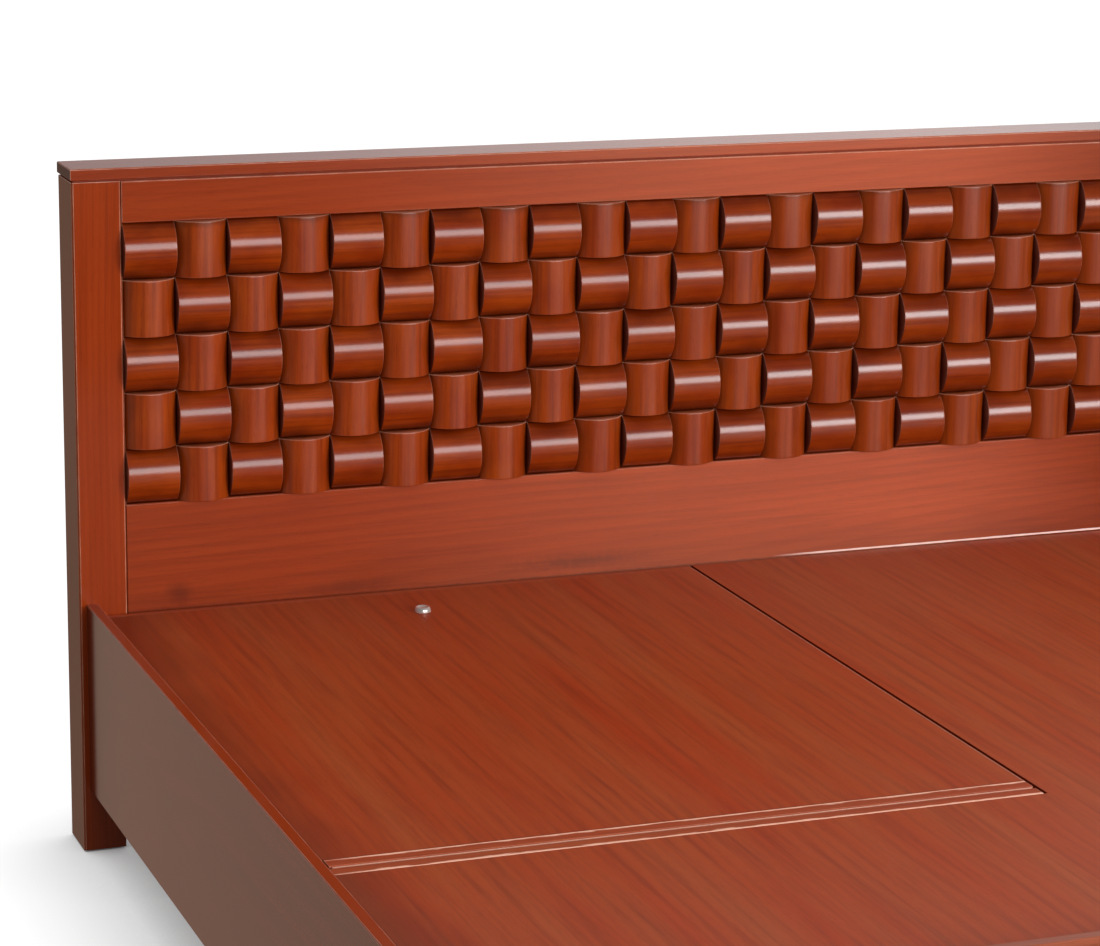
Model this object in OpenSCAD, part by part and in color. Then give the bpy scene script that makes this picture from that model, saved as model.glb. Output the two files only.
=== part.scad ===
// King storage bed with a woven-block headboard and one lift-up lid over its storage box.
// Millimetres, +Z up, headboard at +Y, foot at -Y. The origin is on the floor under the
// middle of the bed's outline. The lid is drawn closed.

/* [Headboard] */
// Number of block columns across the headboard
columns = 23; // [15:2:27]
// Number of block rows
rows = 5; // [3:1:7]
// Width of one block cell
cell_w = 88; // [70:1:110]
// Height of one block cell
cell_h = 94; // [75:1:110]
// How far a block's crown rises above its straight edge
crown_rise = 24; // [12:1:32]
// Straight edge of a block, between its crown and the panel behind it
block_edge = 4; // [1:0.5:8]
// Gap left between neighbouring blocks
block_gap = 0.6; // [0.2:0.1:3]
// Width of a headboard post, seen from the foot
post_w = 82; // [70:1:110]
// Depth of a headboard post, seen from the side
post_d = 98; // [85:1:140]
// Amount taken off the inner side of a post below the box
post_foot_cut = 10; // [2:1:20]
// Visible height of the top rail
top_rail_h = 69; // [50:1:120]
// Height of the lower rail, part of which hides behind the deck
lower_rail_h = 267; // [200:1:300]
// Thickness of the headboard's rails
frame_t = 30; // [26:1:40]
// Thickness of the cap board along the top
cap_t = 19; // [12:1:30]
// How far the cap stands out past the posts and rails
cap_over = 1.5; // [0.5:0.5:6]
// Height of the shadow strip under the cap
strip_t = 3; // [2:0.5:10]
// How far the shadow strip is set back
strip_set = 4; // [3:1:15]
// Thickness of the panel that carries the blocks
panel_t = 9; // [6:1:12]
// How far that panel's face lies behind the rails' front
panel_set = 10; // [5:1:12]
// Depth of the grooves that hold panels and stub tenons
groove_d = 12; // [8:1:16]
// Thickness of the headboard's back skin
skin_t = 6; // [4:1:9]
// Thickness of the battens behind the headboard
batten_t = 22; // [15:1:25]
// Height of those battens
batten_h = 60; // [40:1:60]

/* [Box] */
// Clear length of the deck, from the headboard to the foot rail
deck_l = 1840; // [1700:10:2100]
// Thickness of the side rails, foot rail, divider and cross rails
board_t = 19; // [16:1:25]
// Height of the side and foot rails
rail_h = 322; // [280:1:400]
// Clear height below the rails
rail_clear = 110; // [80:1:160]
// How far a side rail is set in from the post's outer side
rail_inset = 12; // [2:1:20]
// How far the rails stand above the deck
lip_h = 20; // [10:1:30]
// Thickness of the deck panels and the lid
deck_t = 18; // [15:1:25]
// Gap between a deck edge and the rail or headboard beside it
deck_gap = 3; // [2:0.5:6]
// Gap between the lid and the fixed deck beside it
seam_gap = 6; // [2:0.5:8]
// Side of the square cleats that carry the deck
cleat = 30; // [22:1:36]
// Side of the square cleats that carry the storage floor
floor_cleat = 25; // [18:1:30]
// Thickness of the storage floor
floor_t = 12; // [6:1:15]
// Side of a square foot leg
leg_w = 70; // [50:1:90]
// Side of a square centre leg
centre_leg_w = 60; // [40:1:80]
// Diameter of a floor glide
glide_d = 36; // [20:1:44]
// Thickness of a floor glide
glide_t = 3; // [2:0.5:8]

/* [Lid] */
// Distance from the headboard to the lid's hinge pin
lid_l = 1272; // [1000:1:1400]
// Width of the two solid edgings along the hinge, measured from the pin
edging_w = 30; // [22:1:45]
// Width of the solid edging at the lid's headboard edge
rear_edging_w = 14; // [8:1:25]
// Length cut off the hinge edging where it would meet the side rail
edging_notch = 14; // [8:1:25]
// Gap from the hinge pin to the edging on either side
knuckle_room = 3.4; // [3.3:0.1:5]
// Outer radius of a hinge knuckle
knuckle_r = 3; // [2.4:0.1:3.1]
// Radius of the hinge pin
pin_r = 1.2; // [0.8:0.1:1.4]
// Thickness of a hinge leaf
leaf_t = 1.4; // [1:0.1:1.6]
// Height of a hinge leaf below the pin
leaf_h = 14; // [10:0.5:14.5]
// Depth of the pin below the deck's surface
pin_drop = 3; // [2:0.1:3.5]
// Number of knuckles along the hinge
knuckles = 25; // [9:2:41]
// Gap between neighbouring knuckles
knuckle_gap = 0.4; // [0.2:0.1:1]
// Distance from the headboard to the knob
knob_back = 142; // [60:1:300]
// Distance of the knob from the lid's middle, towards the side rail
knob_shift = 12; // [-200:1:200]
// Diameter of the knob at its rim
knob_d = 28; // [20:1:40]
// Height of the knob
knob_h = 9; // [7:0.5:20]
// Height of a stiffening batten under the lid
lid_batten_h = 25; // [15:1:28]
// Width of a stiffening batten under the lid
lid_batten_w = 45; // [30:1:80]

/* [Fastenings] */
// Clearance round stub tenons and panels in their grooves
slip = 0.2; // [0.1:0.05:0.4]
// Clearance of a pin, screw or dowel in its hole
hole_play = 0.05; // [0.02:0.01:0.2]
// Thickness of a bed bracket
bracket_t = 4; // [3:0.5:6]
// Height of a bed bracket
bracket_h = 120; // [80:1:160]
// Length of the bracket's leaf on the side rail
bracket_l = 70; // [50:1:90]
// Shank radius of a bracket's coach screw
coach_r = 3.9; // [3:0.1:4.5]
// Shank radius of a wood screw
screw_r = 2; // [1.5:0.1:2.5]
// Radius of the dowels in the headboard and the centre legs
dowel_r = 4; // [3:0.5:5]
// Length of those dowels
dowel_l = 30; // [20:1:40]
// Distance from a cleat's end to its first screw
screw_end = 60; // [40:5:80]
// Distance from a deck panel's end to its first screw
deck_screw_end = 120; // [100:5:150]
// How far screws that come from both sides of a board pass each other
screw_stagger = 24; // [16:1:30]
// Chamfer along the edges of the boards
arris = 1.5; // [0.5:0.1:2]

/* [Hidden] */
eps = 1;

// Outline of the bed
weave_w = columns * cell_w;
weave_h = rows * cell_h;
bed_w = weave_w + 2 * post_w;
bed_l = post_d + deck_l + board_t;
y_back = bed_l / 2;
y_head = y_back - post_d;
y_foot = -bed_l / 2;
y_foot_in = y_foot + board_t;
x_post_in = weave_w / 2;
x_post_out = bed_w / 2;
x_rail_out = x_post_out - rail_inset;
x_rail_in = x_rail_out - board_t;

// Levels above the floor
z_rail_top = rail_clear + rail_h;
z_deck = z_rail_top - lip_h;
z_under = z_deck - deck_t;
z_cleat = z_under - cleat;
z_floor = rail_clear + floor_cleat;
z_low = z_under - cleat - 34;
z_weave_low = z_low + lower_rail_h;
z_weave_top = z_weave_low + weave_h;
z_post_top = z_weave_top + top_rail_h;
z_cap = z_post_top + strip_t;
head_h = z_cap + cap_t;

// Places along and across the box
y_hinge = y_head - lid_l;
y_cross_front = y_hinge - board_t / 2;
y_cross_rear = y_hinge + board_t / 2;
y_panel = y_head + panel_set;
x_divider = board_t / 2;
x_lid_left = -x_rail_in + deck_gap;
x_lid_right = -seam_gap / 2;
x_lid_mid = (x_lid_left + x_lid_right) / 2;
lid_w = x_lid_right - x_lid_left;
x_hinge_left = x_lid_left + edging_notch + 3;
x_hinge_right = x_lid_right - 4;
hinge_l = x_hinge_right - x_hinge_left;
knuckle_pitch = hinge_l / knuckles;
z_pin = z_deck - pin_drop;
x_knob = x_lid_mid - knob_shift;
y_knob = y_head - knob_back;
y_lid_battens = [y_head - lid_l / 3, y_head - lid_l * 2 / 3];
x_lid_batten = [-x_rail_in + cleat + 12, -x_divider - cleat - 12];

// Colours, as stained and lacquered wood and plain metal
wood = "#9a4228";
wood_deck = "#8c331b";
wood_side = "#6e4a3c";
wood_deep = "#7a2c18";
pine = "#c8a27a";
steel = "#b9bbbd";
black = "#2b2724";

// A wood screw with a countersunk head at z = 0, pointing down
module screw(len, r = screw_r) {
  union() {
    translate([0, 0, -len]) cylinder(h = len, r = r, $fn = 24);
    translate([0, 0, -r]) cylinder(h = r, r1 = r, r2 = 2 * r, $fn = 24);
  }
}

// The hole such a screw turns in
module screw_hole(len, r = screw_r) {
  translate([0, 0, -len - 2]) cylinder(h = len + 2 + eps, r = r + hole_play, $fn = 24);
  translate([0, 0, -r - hole_play]) cylinder(
    h = r + hole_play, r1 = r + hole_play, r2 = 2 * r + 2 * hole_play, $fn = 24);
  cylinder(h = eps, r = 2 * r + 2 * hole_play, $fn = 24);
}

// A coach screw with a round head that rests on z = 0
module coach_screw(len) {
  union() {
    translate([0, 0, -len]) cylinder(h = len, r = coach_r, $fn = 24);
    cylinder(h = 3, r = 2 * coach_r, $fn = 32);
    translate([0, 0, 3]) cylinder(h = 2, r1 = 2 * coach_r, r2 = 1.3 * coach_r, $fn = 32);
  }
}

// The hole for that screw, a little deeper than the screw is long
module coach_hole(len) {
  translate([0, 0, -len - 1]) cylinder(h = len + 1 + eps, r = coach_r + hole_play, $fn = 24);
}

// Turns a screw that points down so that it points along +X, -X, +Y, -Y or up
module point_to(way) {
  turn = way == "+x" ? [0, -90, 0] : way == "-x" ? [0, 90, 0]
    : way == "+y" ? [90, 0, 0] : way == "-y" ? [-90, 0, 0]
    : way == "up" ? [180, 0, 0] : [0, 0, 0];
  rotate(turn) children();
}

// A board along X whose four long edges are chamfered
module board_x(len, d, h, c = arris) {
  rotate([90, 0, 90]) linear_extrude(len) polygon([
    [c, 0], [d - c, 0], [d, c], [d, h - c], [d - c, h], [c, h], [0, h - c], [0, c]]);
}

// A board along Y whose four long edges are chamfered
module board_y(len, w, h, c = arris) {
  translate([0, len, 0]) rotate([90, 0, 0]) linear_extrude(len) polygon([
    [c, 0], [w - c, 0], [w, c], [w, h - c], [w - c, h], [c, h], [0, h - c], [0, c]]);
}

// A post along Z whose four long edges are chamfered
module board_z(w, d, h, c = arris) {
  linear_extrude(h) polygon([
    [c, 0], [w - c, 0], [w, c], [w, d - c], [w - c, d], [c, d], [0, d - c], [0, c]]);
}

// Dowels between the posts, the top rail and the cap
cap_dowel_at = [
  for (s = [-1, 1]) [s * (x_post_out - post_w / 2), y_head + post_d / 2],
  for (k = [-1, 0, 1]) [k * weave_w / 3, y_head + frame_t / 2]
];
module cap_dowel(play) {
  translate([0, 0, z_post_top + strip_t / 2 - dowel_l / 2 - play])
    cylinder(h = dowel_l + 2 * play, r = dowel_r + play, $fn = 24);
}

// Dowels at the ends of the battens behind the headboard
z_battens = [
  rail_clear + batten_h / 2,
  z_weave_low + batten_h / 2,
  z_post_top - batten_h / 2
];
y_batten = y_back - skin_t - batten_t / 2;
module batten_dowel(side, z, play) {
  translate([side * x_post_in, y_batten, z]) rotate([0, 90, 0])
    cylinder(h = dowel_l + 2 * play, r = dowel_r + play, center = true, $fn = 24);
}

// Dowels that hold the centre legs to the divider
centre_leg_at = [y_hinge, (y_hinge + y_head) / 2];
module leg_dowel(y, play) {
  translate([0, y, rail_clear - dowel_l / 2 - play])
    cylinder(h = dowel_l + 2 * play, r = dowel_r + play, $fn = 24);
}

// Coach screws of the bed brackets, on the side rail and on the post
bracket_z = [rail_clear + rail_h / 2 - bracket_h / 2, rail_clear + rail_h / 2 + bracket_h / 2];
bracket_hole_z = [bracket_z[0] + 20, bracket_z[1] - 20];
bracket_leaf_w = x_rail_in - x_post_in - 5;
rail_screw_l = board_t + bracket_t - 5;
post_screw_l = 45;
module at_rail_bracket_screws(side) {
  for (z = bracket_hole_z)
    translate([side * (x_rail_in - bracket_t), y_head - bracket_l + 20, z])
      point_to(side > 0 ? "+x" : "-x") children();
}
module at_post_bracket_screws(side) {
  for (z = bracket_hole_z)
    translate([side * (x_rail_in - bracket_t - (bracket_leaf_w - bracket_t) / 2),
      y_head - bracket_t, z]) point_to("+y") children();
}

// Screws of the cleats into the boards that carry them
cleat_screw_l = cleat + 10;
z_cleat_screw = z_cleat + cleat / 2;
side_screw_y = [
  y_foot_in + leg_w + screw_end,
  y_cross_front - cleat - screw_end,
  y_cross_rear + cleat + 2 * screw_end,
  (y_cross_rear + y_head) / 2,
  y_head - cleat - screw_end
];
end_screw_x = [for (k = [0.25, 0.55, 0.85]) k * x_post_in];
divider_screw_y = [
  y_foot_in + screw_end, (y_foot_in + y_cross_front) / 2, y_cross_front - cleat - screw_end,
  y_cross_rear + cleat + 2 * screw_end, (y_cross_rear + y_head) / 2 + screw_end,
  y_head - cleat - 1.5 * screw_end
];
module at_side_cleat_screws() {
  for (s = [-1, 1], y = side_screw_y)
    translate([s * (x_rail_in - cleat), y, z_cleat_screw])
      point_to(s > 0 ? "+x" : "-x") children();
}
module at_head_cleat_screws() {
  for (s = [-1, 1], x = end_screw_x)
    translate([s * x, y_head - cleat, z_cleat_screw]) point_to("+y") children();
}
module at_foot_cleat_screws() {
  for (s = [-1, 1], x = end_screw_x)
    translate([s * x, y_foot_in + cleat, z_cleat_screw]) point_to("-y") children();
}
module at_divider_cleat_screws() {
  for (s = [-1, 1], y = divider_screw_y)
    translate([s * (x_divider + cleat), y + s * screw_stagger / 2, z_cleat_screw])
      point_to(s > 0 ? "-x" : "+x") children();
}
module at_cross_cleat_screws() {
  for (s = [-1, 1], x = end_screw_x) {
    translate([s * x - screw_stagger / 2, y_cross_front - cleat, z_cleat_screw])
      point_to("+y") children();
    translate([s * x + screw_stagger / 2, y_cross_rear + cleat, z_cleat_screw])
      point_to("-y") children();
  }
}

// Screws of the storage floor into its cleats
floor_screw_l = floor_t + floor_cleat - 10;
module at_floor_screws() {
  for (x = [-x_rail_in + floor_cleat / 2, -x_divider - floor_cleat / 2], k = [0.12, 0.5, 0.88])
    translate([x, y_cross_rear + k * (y_head - y_cross_rear), z_floor + floor_t]) children();
  for (k = [0.3, 0.7], y = [y_cross_rear + floor_cleat / 2, y_head - floor_cleat / 2])
    translate([-x_rail_in + k * (x_rail_in - x_divider), y, z_floor + floor_t]) children();
}

// Screws of the headboard's back skin into the battens
skin_screw_l = skin_t + batten_t - 8;
module at_skin_screws() {
  for (z = z_battens, k = [-3.5:1:3.5])
    translate([k * weave_w / 8, y_back, z]) point_to("-y") children();
}

// Screws that hold the deck panels from below, through the cleats
deck_screw_l = cleat + deck_t - 6;
deck_screw_at = [
  [x_rail_in - cleat / 2, y_foot_in + leg_w + deck_screw_end],
  [x_rail_in - cleat / 2, y_cross_rear + cleat + deck_screw_end / 2],
  [x_rail_in - cleat / 2, y_head - cleat - deck_screw_end],
  [x_divider + cleat / 2, y_foot_in + deck_screw_end],
  [x_divider + cleat / 2, y_cross_rear + cleat + deck_screw_end / 2],
  [x_divider + cleat / 2, y_head - cleat - 1.3 * deck_screw_end],
  [-x_rail_in + cleat / 2, y_foot_in + leg_w + deck_screw_end],
  [-x_rail_in + cleat / 2, y_cross_front - cleat - deck_screw_end],
  [-x_divider - cleat / 2, y_foot_in + deck_screw_end],
  [-x_divider - cleat / 2, y_cross_front - cleat - deck_screw_end]
];
module at_deck_screws() {
  for (p = deck_screw_at) translate([p[0], p[1], z_cleat]) point_to("up") children();
}

// Screws through the foot legs into the side rails and the foot rail
leg_screw_l = leg_w + board_t - 6;
leg_screw_z = [rail_clear + screw_end, z_cleat - screw_end];
module at_leg_screws(side) {
  off = screw_stagger / 2;
  for (z = leg_screw_z) {
    translate([side * (x_rail_in - leg_w), y_foot_in + leg_w / 2 + off, z - off])
      point_to(side > 0 ? "+x" : "-x") children();
    translate([side * (x_rail_in - leg_w / 2 + off), y_foot_in + leg_w, z + off])
      point_to("-y") children();
  }
}

// Screws through the hinge leaves
hinge_screw_r = 1.3;
hinge_screw_l = edging_w - knuckle_room - 10;
z_hinge_screw = z_pin - (leaf_h + knuckle_room) / 2 - 0.6;
function knuckle_x(k) = x_hinge_left + (k + 0.5) * knuckle_pitch;
module at_deck_leaf_screws() {
  for (k = [0:2:knuckles - 1])
    translate([knuckle_x(k), y_hinge - knuckle_room + leaf_t, z_hinge_screw])
      point_to("-y") children();
}
module at_lid_leaf_screws() {
  for (k = [1:2:knuckles - 1])
    translate([knuckle_x(k), y_hinge + knuckle_room - leaf_t, z_hinge_screw])
      point_to("+y") children();
}

// Screws of the lid's battens
lid_screw_l = lid_batten_h + deck_t - 6;
module at_lid_batten_screws() {
  for (y = y_lid_battens, k = [0:4])
    translate([x_lid_batten[0] + 30 + k * (x_lid_batten[1] - x_lid_batten[0] - 60) / 4,
      y, z_under - lid_batten_h]) point_to("up") children();
}

// Headboard

// side is -1 for the left post and 1 for the right one
module post(side) {
  color(wood) difference() {
    translate([side < 0 ? -x_post_out : x_post_in, y_head, glide_t])
      board_z(post_w, post_d, z_post_top - glide_t, 2 * arris);
    translate([side * x_post_in - groove_d, y_panel - slip, rail_clear])
      cube([2 * groove_d, panel_t + 2 * slip, z_post_top]);
    translate([side * x_post_in - post_foot_cut, y_head - eps, 0])
      cube([2 * post_foot_cut, post_d + 2 * eps, rail_clear - 6]);
    for (p = cap_dowel_at) translate(p) cap_dowel(hole_play);
    for (z = z_battens) batten_dowel(side, z, hole_play);
    at_post_bracket_screws(side) coach_hole(post_screw_l);
  }
}

module head_cap() {
  over = cap_over;
  len = bed_w + 2 * over;
  depth = post_d + over;
  color(wood) difference() {
    intersection() {
      translate([-len / 2, y_head - over, z_cap]) board_x(len, depth, cap_t, arris);
      translate([-len / 2, y_head - over, z_cap]) board_y(depth, len, cap_t, arris);
    }
    for (p = cap_dowel_at) translate(p) cap_dowel(hole_play);
  }
}

module cap_strip() {
  color(wood_deep) difference() {
    translate([-x_post_out + strip_set, y_head + strip_set, z_post_top])
      cube([bed_w - 2 * strip_set, post_d - 2 * strip_set, strip_t]);
    for (p = cap_dowel_at) translate(p) cap_dowel(hole_play);
  }
}

// A headboard rail with stub tenons; groove is 1 for a groove on top and -1 for one below
module head_rail(z, h, groove) {
  difference() {
    union() {
      translate([-x_post_in, y_head, z]) board_x(weave_w, frame_t, h);
      translate([-x_post_in - groove_d + slip, y_panel, z + arris])
        cube([weave_w + 2 * (groove_d - slip), panel_t, h - 2 * arris]);
    }
    translate([-x_post_in - groove_d, y_panel - slip, groove > 0 ? z + h - groove_d : z - groove_d])
      cube([weave_w + 2 * groove_d, panel_t + 2 * slip, 2 * groove_d]);
  }
}

module top_rail() {
  color(wood) difference() {
    head_rail(z_weave_top, top_rail_h, -1);
    for (p = cap_dowel_at) translate(p) cap_dowel(hole_play);
  }
}

module lower_rail() {
  color(wood) difference() {
    head_rail(z_low, lower_rail_h, 1);
    at_head_cleat_screws() screw_hole(cleat_screw_l);
  }
}

module head_apron() {
  color(wood_deep) union() {
    translate([-x_post_in, y_head, rail_clear]) board_x(weave_w, board_t, z_low - rail_clear, 0.5);
    translate([-x_post_in - groove_d + slip, y_panel, rail_clear + slip])
      cube([weave_w + 2 * (groove_d - slip), panel_t, z_low - rail_clear - 2 * slip]);
  }
}

module weave_panel() {
  grip = groove_d - slip;
  color(wood_deep) translate([-x_post_in - grip, y_panel, z_weave_low - grip])
    cube([weave_w + 2 * grip, panel_t, weave_h + 2 * grip]);
}

// A block with a crown that runs along its length, standing on the panel's face
module crowned_block(len, width) {
  r = (width * width / 4 + crown_rise * crown_rise) / (2 * crown_rise);
  total = crown_rise + block_edge;
  intersection() {
    translate([-len / 2, -total, -width / 2]) cube([len, total, width]);
    translate([0, r - total, 0]) rotate([0, 90, 0])
      cylinder(h = len + 2, r = r, center = true, $fn = 72);
  }
}

// The blocks of one row, counted from the top, that lie across or stand upright
module weave_row(row, across) {
  z = z_weave_top - (row + 0.5) * cell_h;
  first = across == (row % 2 == 0) ? 0 : 1;
  color(wood) for (c = [first:2:columns - 1])
    translate([-x_post_in + (c + 0.5) * cell_w, y_panel, z]) {
      if (across) crowned_block(cell_w - block_gap, cell_h - block_gap);
      else rotate([0, 90, 0]) crowned_block(cell_h - block_gap, cell_w - block_gap);
    }
}

module back_skin() {
  color(wood_deep) difference() {
    translate([-x_post_in + 0.5, y_back - skin_t, rail_clear])
      cube([weave_w - 1, skin_t, z_post_top - rail_clear]);
    at_skin_screws() screw_hole(skin_screw_l, 1.5);
  }
}

module back_battens() {
  color(pine) for (z = z_battens) difference() {
    translate([-x_post_in, y_batten - batten_t / 2, z - batten_h / 2])
      cube([weave_w, batten_t, batten_h]);
    for (s = [-1, 1]) batten_dowel(s, z, hole_play);
    at_skin_screws() screw_hole(skin_screw_l, 1.5);
  }
}

module back_skin_screws() {
  color(steel) at_skin_screws() screw(skin_screw_l, 1.5);
}

module dowels() {
  color(pine) {
    for (p = cap_dowel_at) translate(p) cap_dowel(0);
    for (s = [-1, 1], z = z_battens) batten_dowel(s, z, 0);
    for (y = centre_leg_at) leg_dowel(y, 0);
  }
}

// Box

// side is -1 for the left rail and 1 for the right one
module side_rail(side) {
  color(wood_side) difference() {
    translate([side < 0 ? -x_rail_out : x_rail_in, y_foot, rail_clear])
      board_y(y_head - y_foot, board_t, rail_h, arris);
    translate([0, 0, rail_clear - eps]) linear_extrude(rail_h + 2 * eps) polygon([
      [side * (x_rail_out + 1), y_foot - 1], [side * (x_rail_in - 1), y_foot - 1],
      [side * (x_rail_in - 1), y_foot_in + 1]]);
    at_rail_bracket_screws(side) coach_hole(rail_screw_l);
    at_side_cleat_screws() screw_hole(cleat_screw_l);
    at_leg_screws(side) screw_hole(leg_screw_l);
  }
}

module foot_rail() {
  color(wood) difference() {
    translate([-x_rail_out, y_foot, rail_clear]) board_x(2 * x_rail_out, board_t, rail_h, arris);
    for (s = [-1, 1]) translate([0, 0, rail_clear - eps]) linear_extrude(rail_h + 2 * eps)
      polygon([[s * (x_rail_out + 1), y_foot - 1], [s * (x_rail_out + 1), y_foot_in + 1],
        [s * (x_rail_in - 1), y_foot_in + 1]]);
    for (s = [-1, 1]) at_leg_screws(s) screw_hole(leg_screw_l);
    at_foot_cleat_screws() screw_hole(cleat_screw_l);
  }
}

module foot_leg(side) {
  color(wood_deep) difference() {
    translate([side < 0 ? -x_rail_in : x_rail_in - leg_w, y_foot_in, glide_t])
      board_z(leg_w, leg_w, z_under - glide_t, arris);
    at_leg_screws(side) screw_hole(leg_screw_l);
  }
}

module leg_screws() {
  color(steel) for (s = [-1, 1]) at_leg_screws(s) screw(leg_screw_l);
}

module centre_divider() {
  color(pine) difference() {
    translate([-x_divider, y_foot_in, rail_clear])
      cube([board_t, y_head - y_foot_in, z_under - rail_clear]);
    for (y = centre_leg_at) leg_dowel(y, hole_play);
    at_divider_cleat_screws() screw_hole(cleat_screw_l);
  }
}

module cross_rail(side) {
  color(pine) difference() {
    translate([side < 0 ? -x_rail_in : x_divider, y_cross_front, rail_clear])
      cube([x_rail_in - x_divider, board_t, z_under - rail_clear]);
    at_cross_cleat_screws() screw_hole(cleat_screw_l);
  }
}

module side_cleats() {
  color(pine) difference() {
    for (s = [-1, 1]) {
      x = s < 0 ? -x_rail_in : x_rail_in - cleat;
      translate([x, y_foot_in + leg_w, z_cleat])
        cube([cleat, y_cross_front - y_foot_in - leg_w, cleat]);
      translate([x, y_cross_rear, z_cleat]) cube([cleat, y_head - y_cross_rear, cleat]);
    }
    at_side_cleat_screws() screw_hole(cleat_screw_l);
    at_deck_screws() screw_hole(deck_screw_l);
  }
}

module end_cleats() {
  far = x_rail_in - cleat;
  near = x_divider + cleat;
  color(pine) difference() {
    for (s = [-1, 1]) {
      translate([s < 0 ? -far : near, y_head - cleat, z_cleat])
        cube([far - near, cleat, cleat]);
      translate([s < 0 ? -x_rail_in + leg_w : near, y_foot_in, z_cleat])
        cube([x_rail_in - leg_w - near, cleat, cleat]);
    }
    at_head_cleat_screws() screw_hole(cleat_screw_l);
    at_foot_cleat_screws() screw_hole(cleat_screw_l);
  }
}

module divider_cleats() {
  color(pine) difference() {
    for (s = [-1, 1]) {
      x = s < 0 ? -x_divider - cleat : x_divider;
      translate([x, y_foot_in, z_cleat]) cube([cleat, y_cross_front - y_foot_in, cleat]);
      translate([x, y_cross_rear, z_cleat]) cube([cleat, y_head - y_cross_rear, cleat]);
    }
    at_divider_cleat_screws() screw_hole(cleat_screw_l);
    at_deck_screws() screw_hole(deck_screw_l);
  }
}

module cross_cleats() {
  span = x_rail_in - x_divider - 2 * cleat;
  color(pine) difference() {
    for (x = [-x_rail_in + cleat, x_divider + cleat], y = [y_cross_front - cleat, y_cross_rear])
      translate([x, y, z_cleat]) cube([span, cleat, cleat]);
    at_cross_cleat_screws() screw_hole(cleat_screw_l);
  }
}

module cleat_screws() {
  color(steel) {
    at_side_cleat_screws() screw(cleat_screw_l);
    at_head_cleat_screws() screw(cleat_screw_l);
    at_foot_cleat_screws() screw(cleat_screw_l);
    at_divider_cleat_screws() screw(cleat_screw_l);
    at_cross_cleat_screws() screw(cleat_screw_l);
  }
}

module storage_floor() {
  color(pine) difference() {
    translate([-x_rail_in + 1, y_cross_rear + 1, z_floor])
      cube([x_rail_in - x_divider - 2, y_head - y_cross_rear - 2, floor_t]);
    at_floor_screws() screw_hole(floor_screw_l);
  }
}

module floor_cleats() {
  inner = x_rail_in - x_divider - 2 * floor_cleat - 1;
  run = y_head - y_cross_rear;
  color(pine) difference() {
    union() {
      for (x = [-x_rail_in, -x_divider - floor_cleat])
        translate([x, y_cross_rear, rail_clear]) cube([floor_cleat, run, floor_cleat]);
      for (y = [y_cross_rear, y_head - floor_cleat])
        translate([-x_rail_in + floor_cleat + 0.5, y, rail_clear])
          cube([inner, floor_cleat, floor_cleat]);
    }
    at_floor_screws() screw_hole(floor_screw_l);
  }
}

module floor_screws() {
  color(steel) at_floor_screws() screw(floor_screw_l);
}

module bed_bracket(side) {
  h = bracket_z[1] - bracket_z[0];
  color(black) difference() {
    union() {
      translate([side < 0 ? -x_rail_in : x_rail_in - bracket_t, y_head - bracket_l, bracket_z[0]])
        cube([bracket_t, bracket_l, h]);
      translate([side < 0 ? -x_rail_in : x_rail_in - bracket_leaf_w, y_head - bracket_t,
        bracket_z[0]]) cube([bracket_leaf_w, bracket_t, h]);
    }
    at_rail_bracket_screws(side) coach_hole(rail_screw_l);
    at_post_bracket_screws(side) coach_hole(post_screw_l);
  }
}

module bracket_screws() {
  color(steel) for (s = [-1, 1]) {
    at_rail_bracket_screws(s) coach_screw(rail_screw_l);
    at_post_bracket_screws(s) coach_screw(post_screw_l);
  }
}

module centre_legs() {
  color(wood_deep) for (y = centre_leg_at) difference() {
    translate([-centre_leg_w / 2, y - centre_leg_w / 2, glide_t])
      board_z(centre_leg_w, centre_leg_w, rail_clear - glide_t, arris);
    leg_dowel(y, hole_play);
  }
}

module glides() {
  inner_foot = x_post_in + post_foot_cut;
  color(black) {
    for (s = [-1, 1]) {
      translate([s * (inner_foot + x_post_out) / 2, y_head + post_d / 2, 0])
        cylinder(h = glide_t, r = glide_d / 2, $fn = 48);
      translate([s * (x_rail_in - leg_w / 2), y_foot_in + leg_w / 2, 0])
        cylinder(h = glide_t, r = glide_d / 2, $fn = 48);
    }
    for (y = centre_leg_at) translate([0, y, 0])
      cylinder(h = glide_t, r = glide_d / 2, $fn = 48);
  }
}

// Deck

module deck_right() {
  color(wood_deck) difference() {
    translate([seam_gap / 2, y_foot_in + deck_gap, z_under])
      cube([x_rail_in - deck_gap - seam_gap / 2, deck_l - 2 * deck_gap, deck_t]);
    at_deck_screws() screw_hole(deck_screw_l);
  }
}

module deck_front_left() {
  color(wood_deck) difference() {
    translate([x_lid_left, y_foot_in + deck_gap, z_under])
      cube([seam_gap / 2 - x_lid_left, y_hinge - edging_w - y_foot_in - deck_gap, deck_t]);
    at_deck_screws() screw_hole(deck_screw_l);
  }
}

module deck_screws() {
  color(steel) at_deck_screws() screw(deck_screw_l);
}

// The solid edging on the deck's side of the hinge
module deck_edging() {
  color(wood) difference() {
    translate([x_lid_left, y_hinge - edging_w, z_under])
      board_x(lid_w, edging_w - knuckle_room, deck_t, arris);
    at_deck_leaf_screws() screw_hole(hinge_screw_l, hinge_screw_r);
  }
}

// Lid

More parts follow.
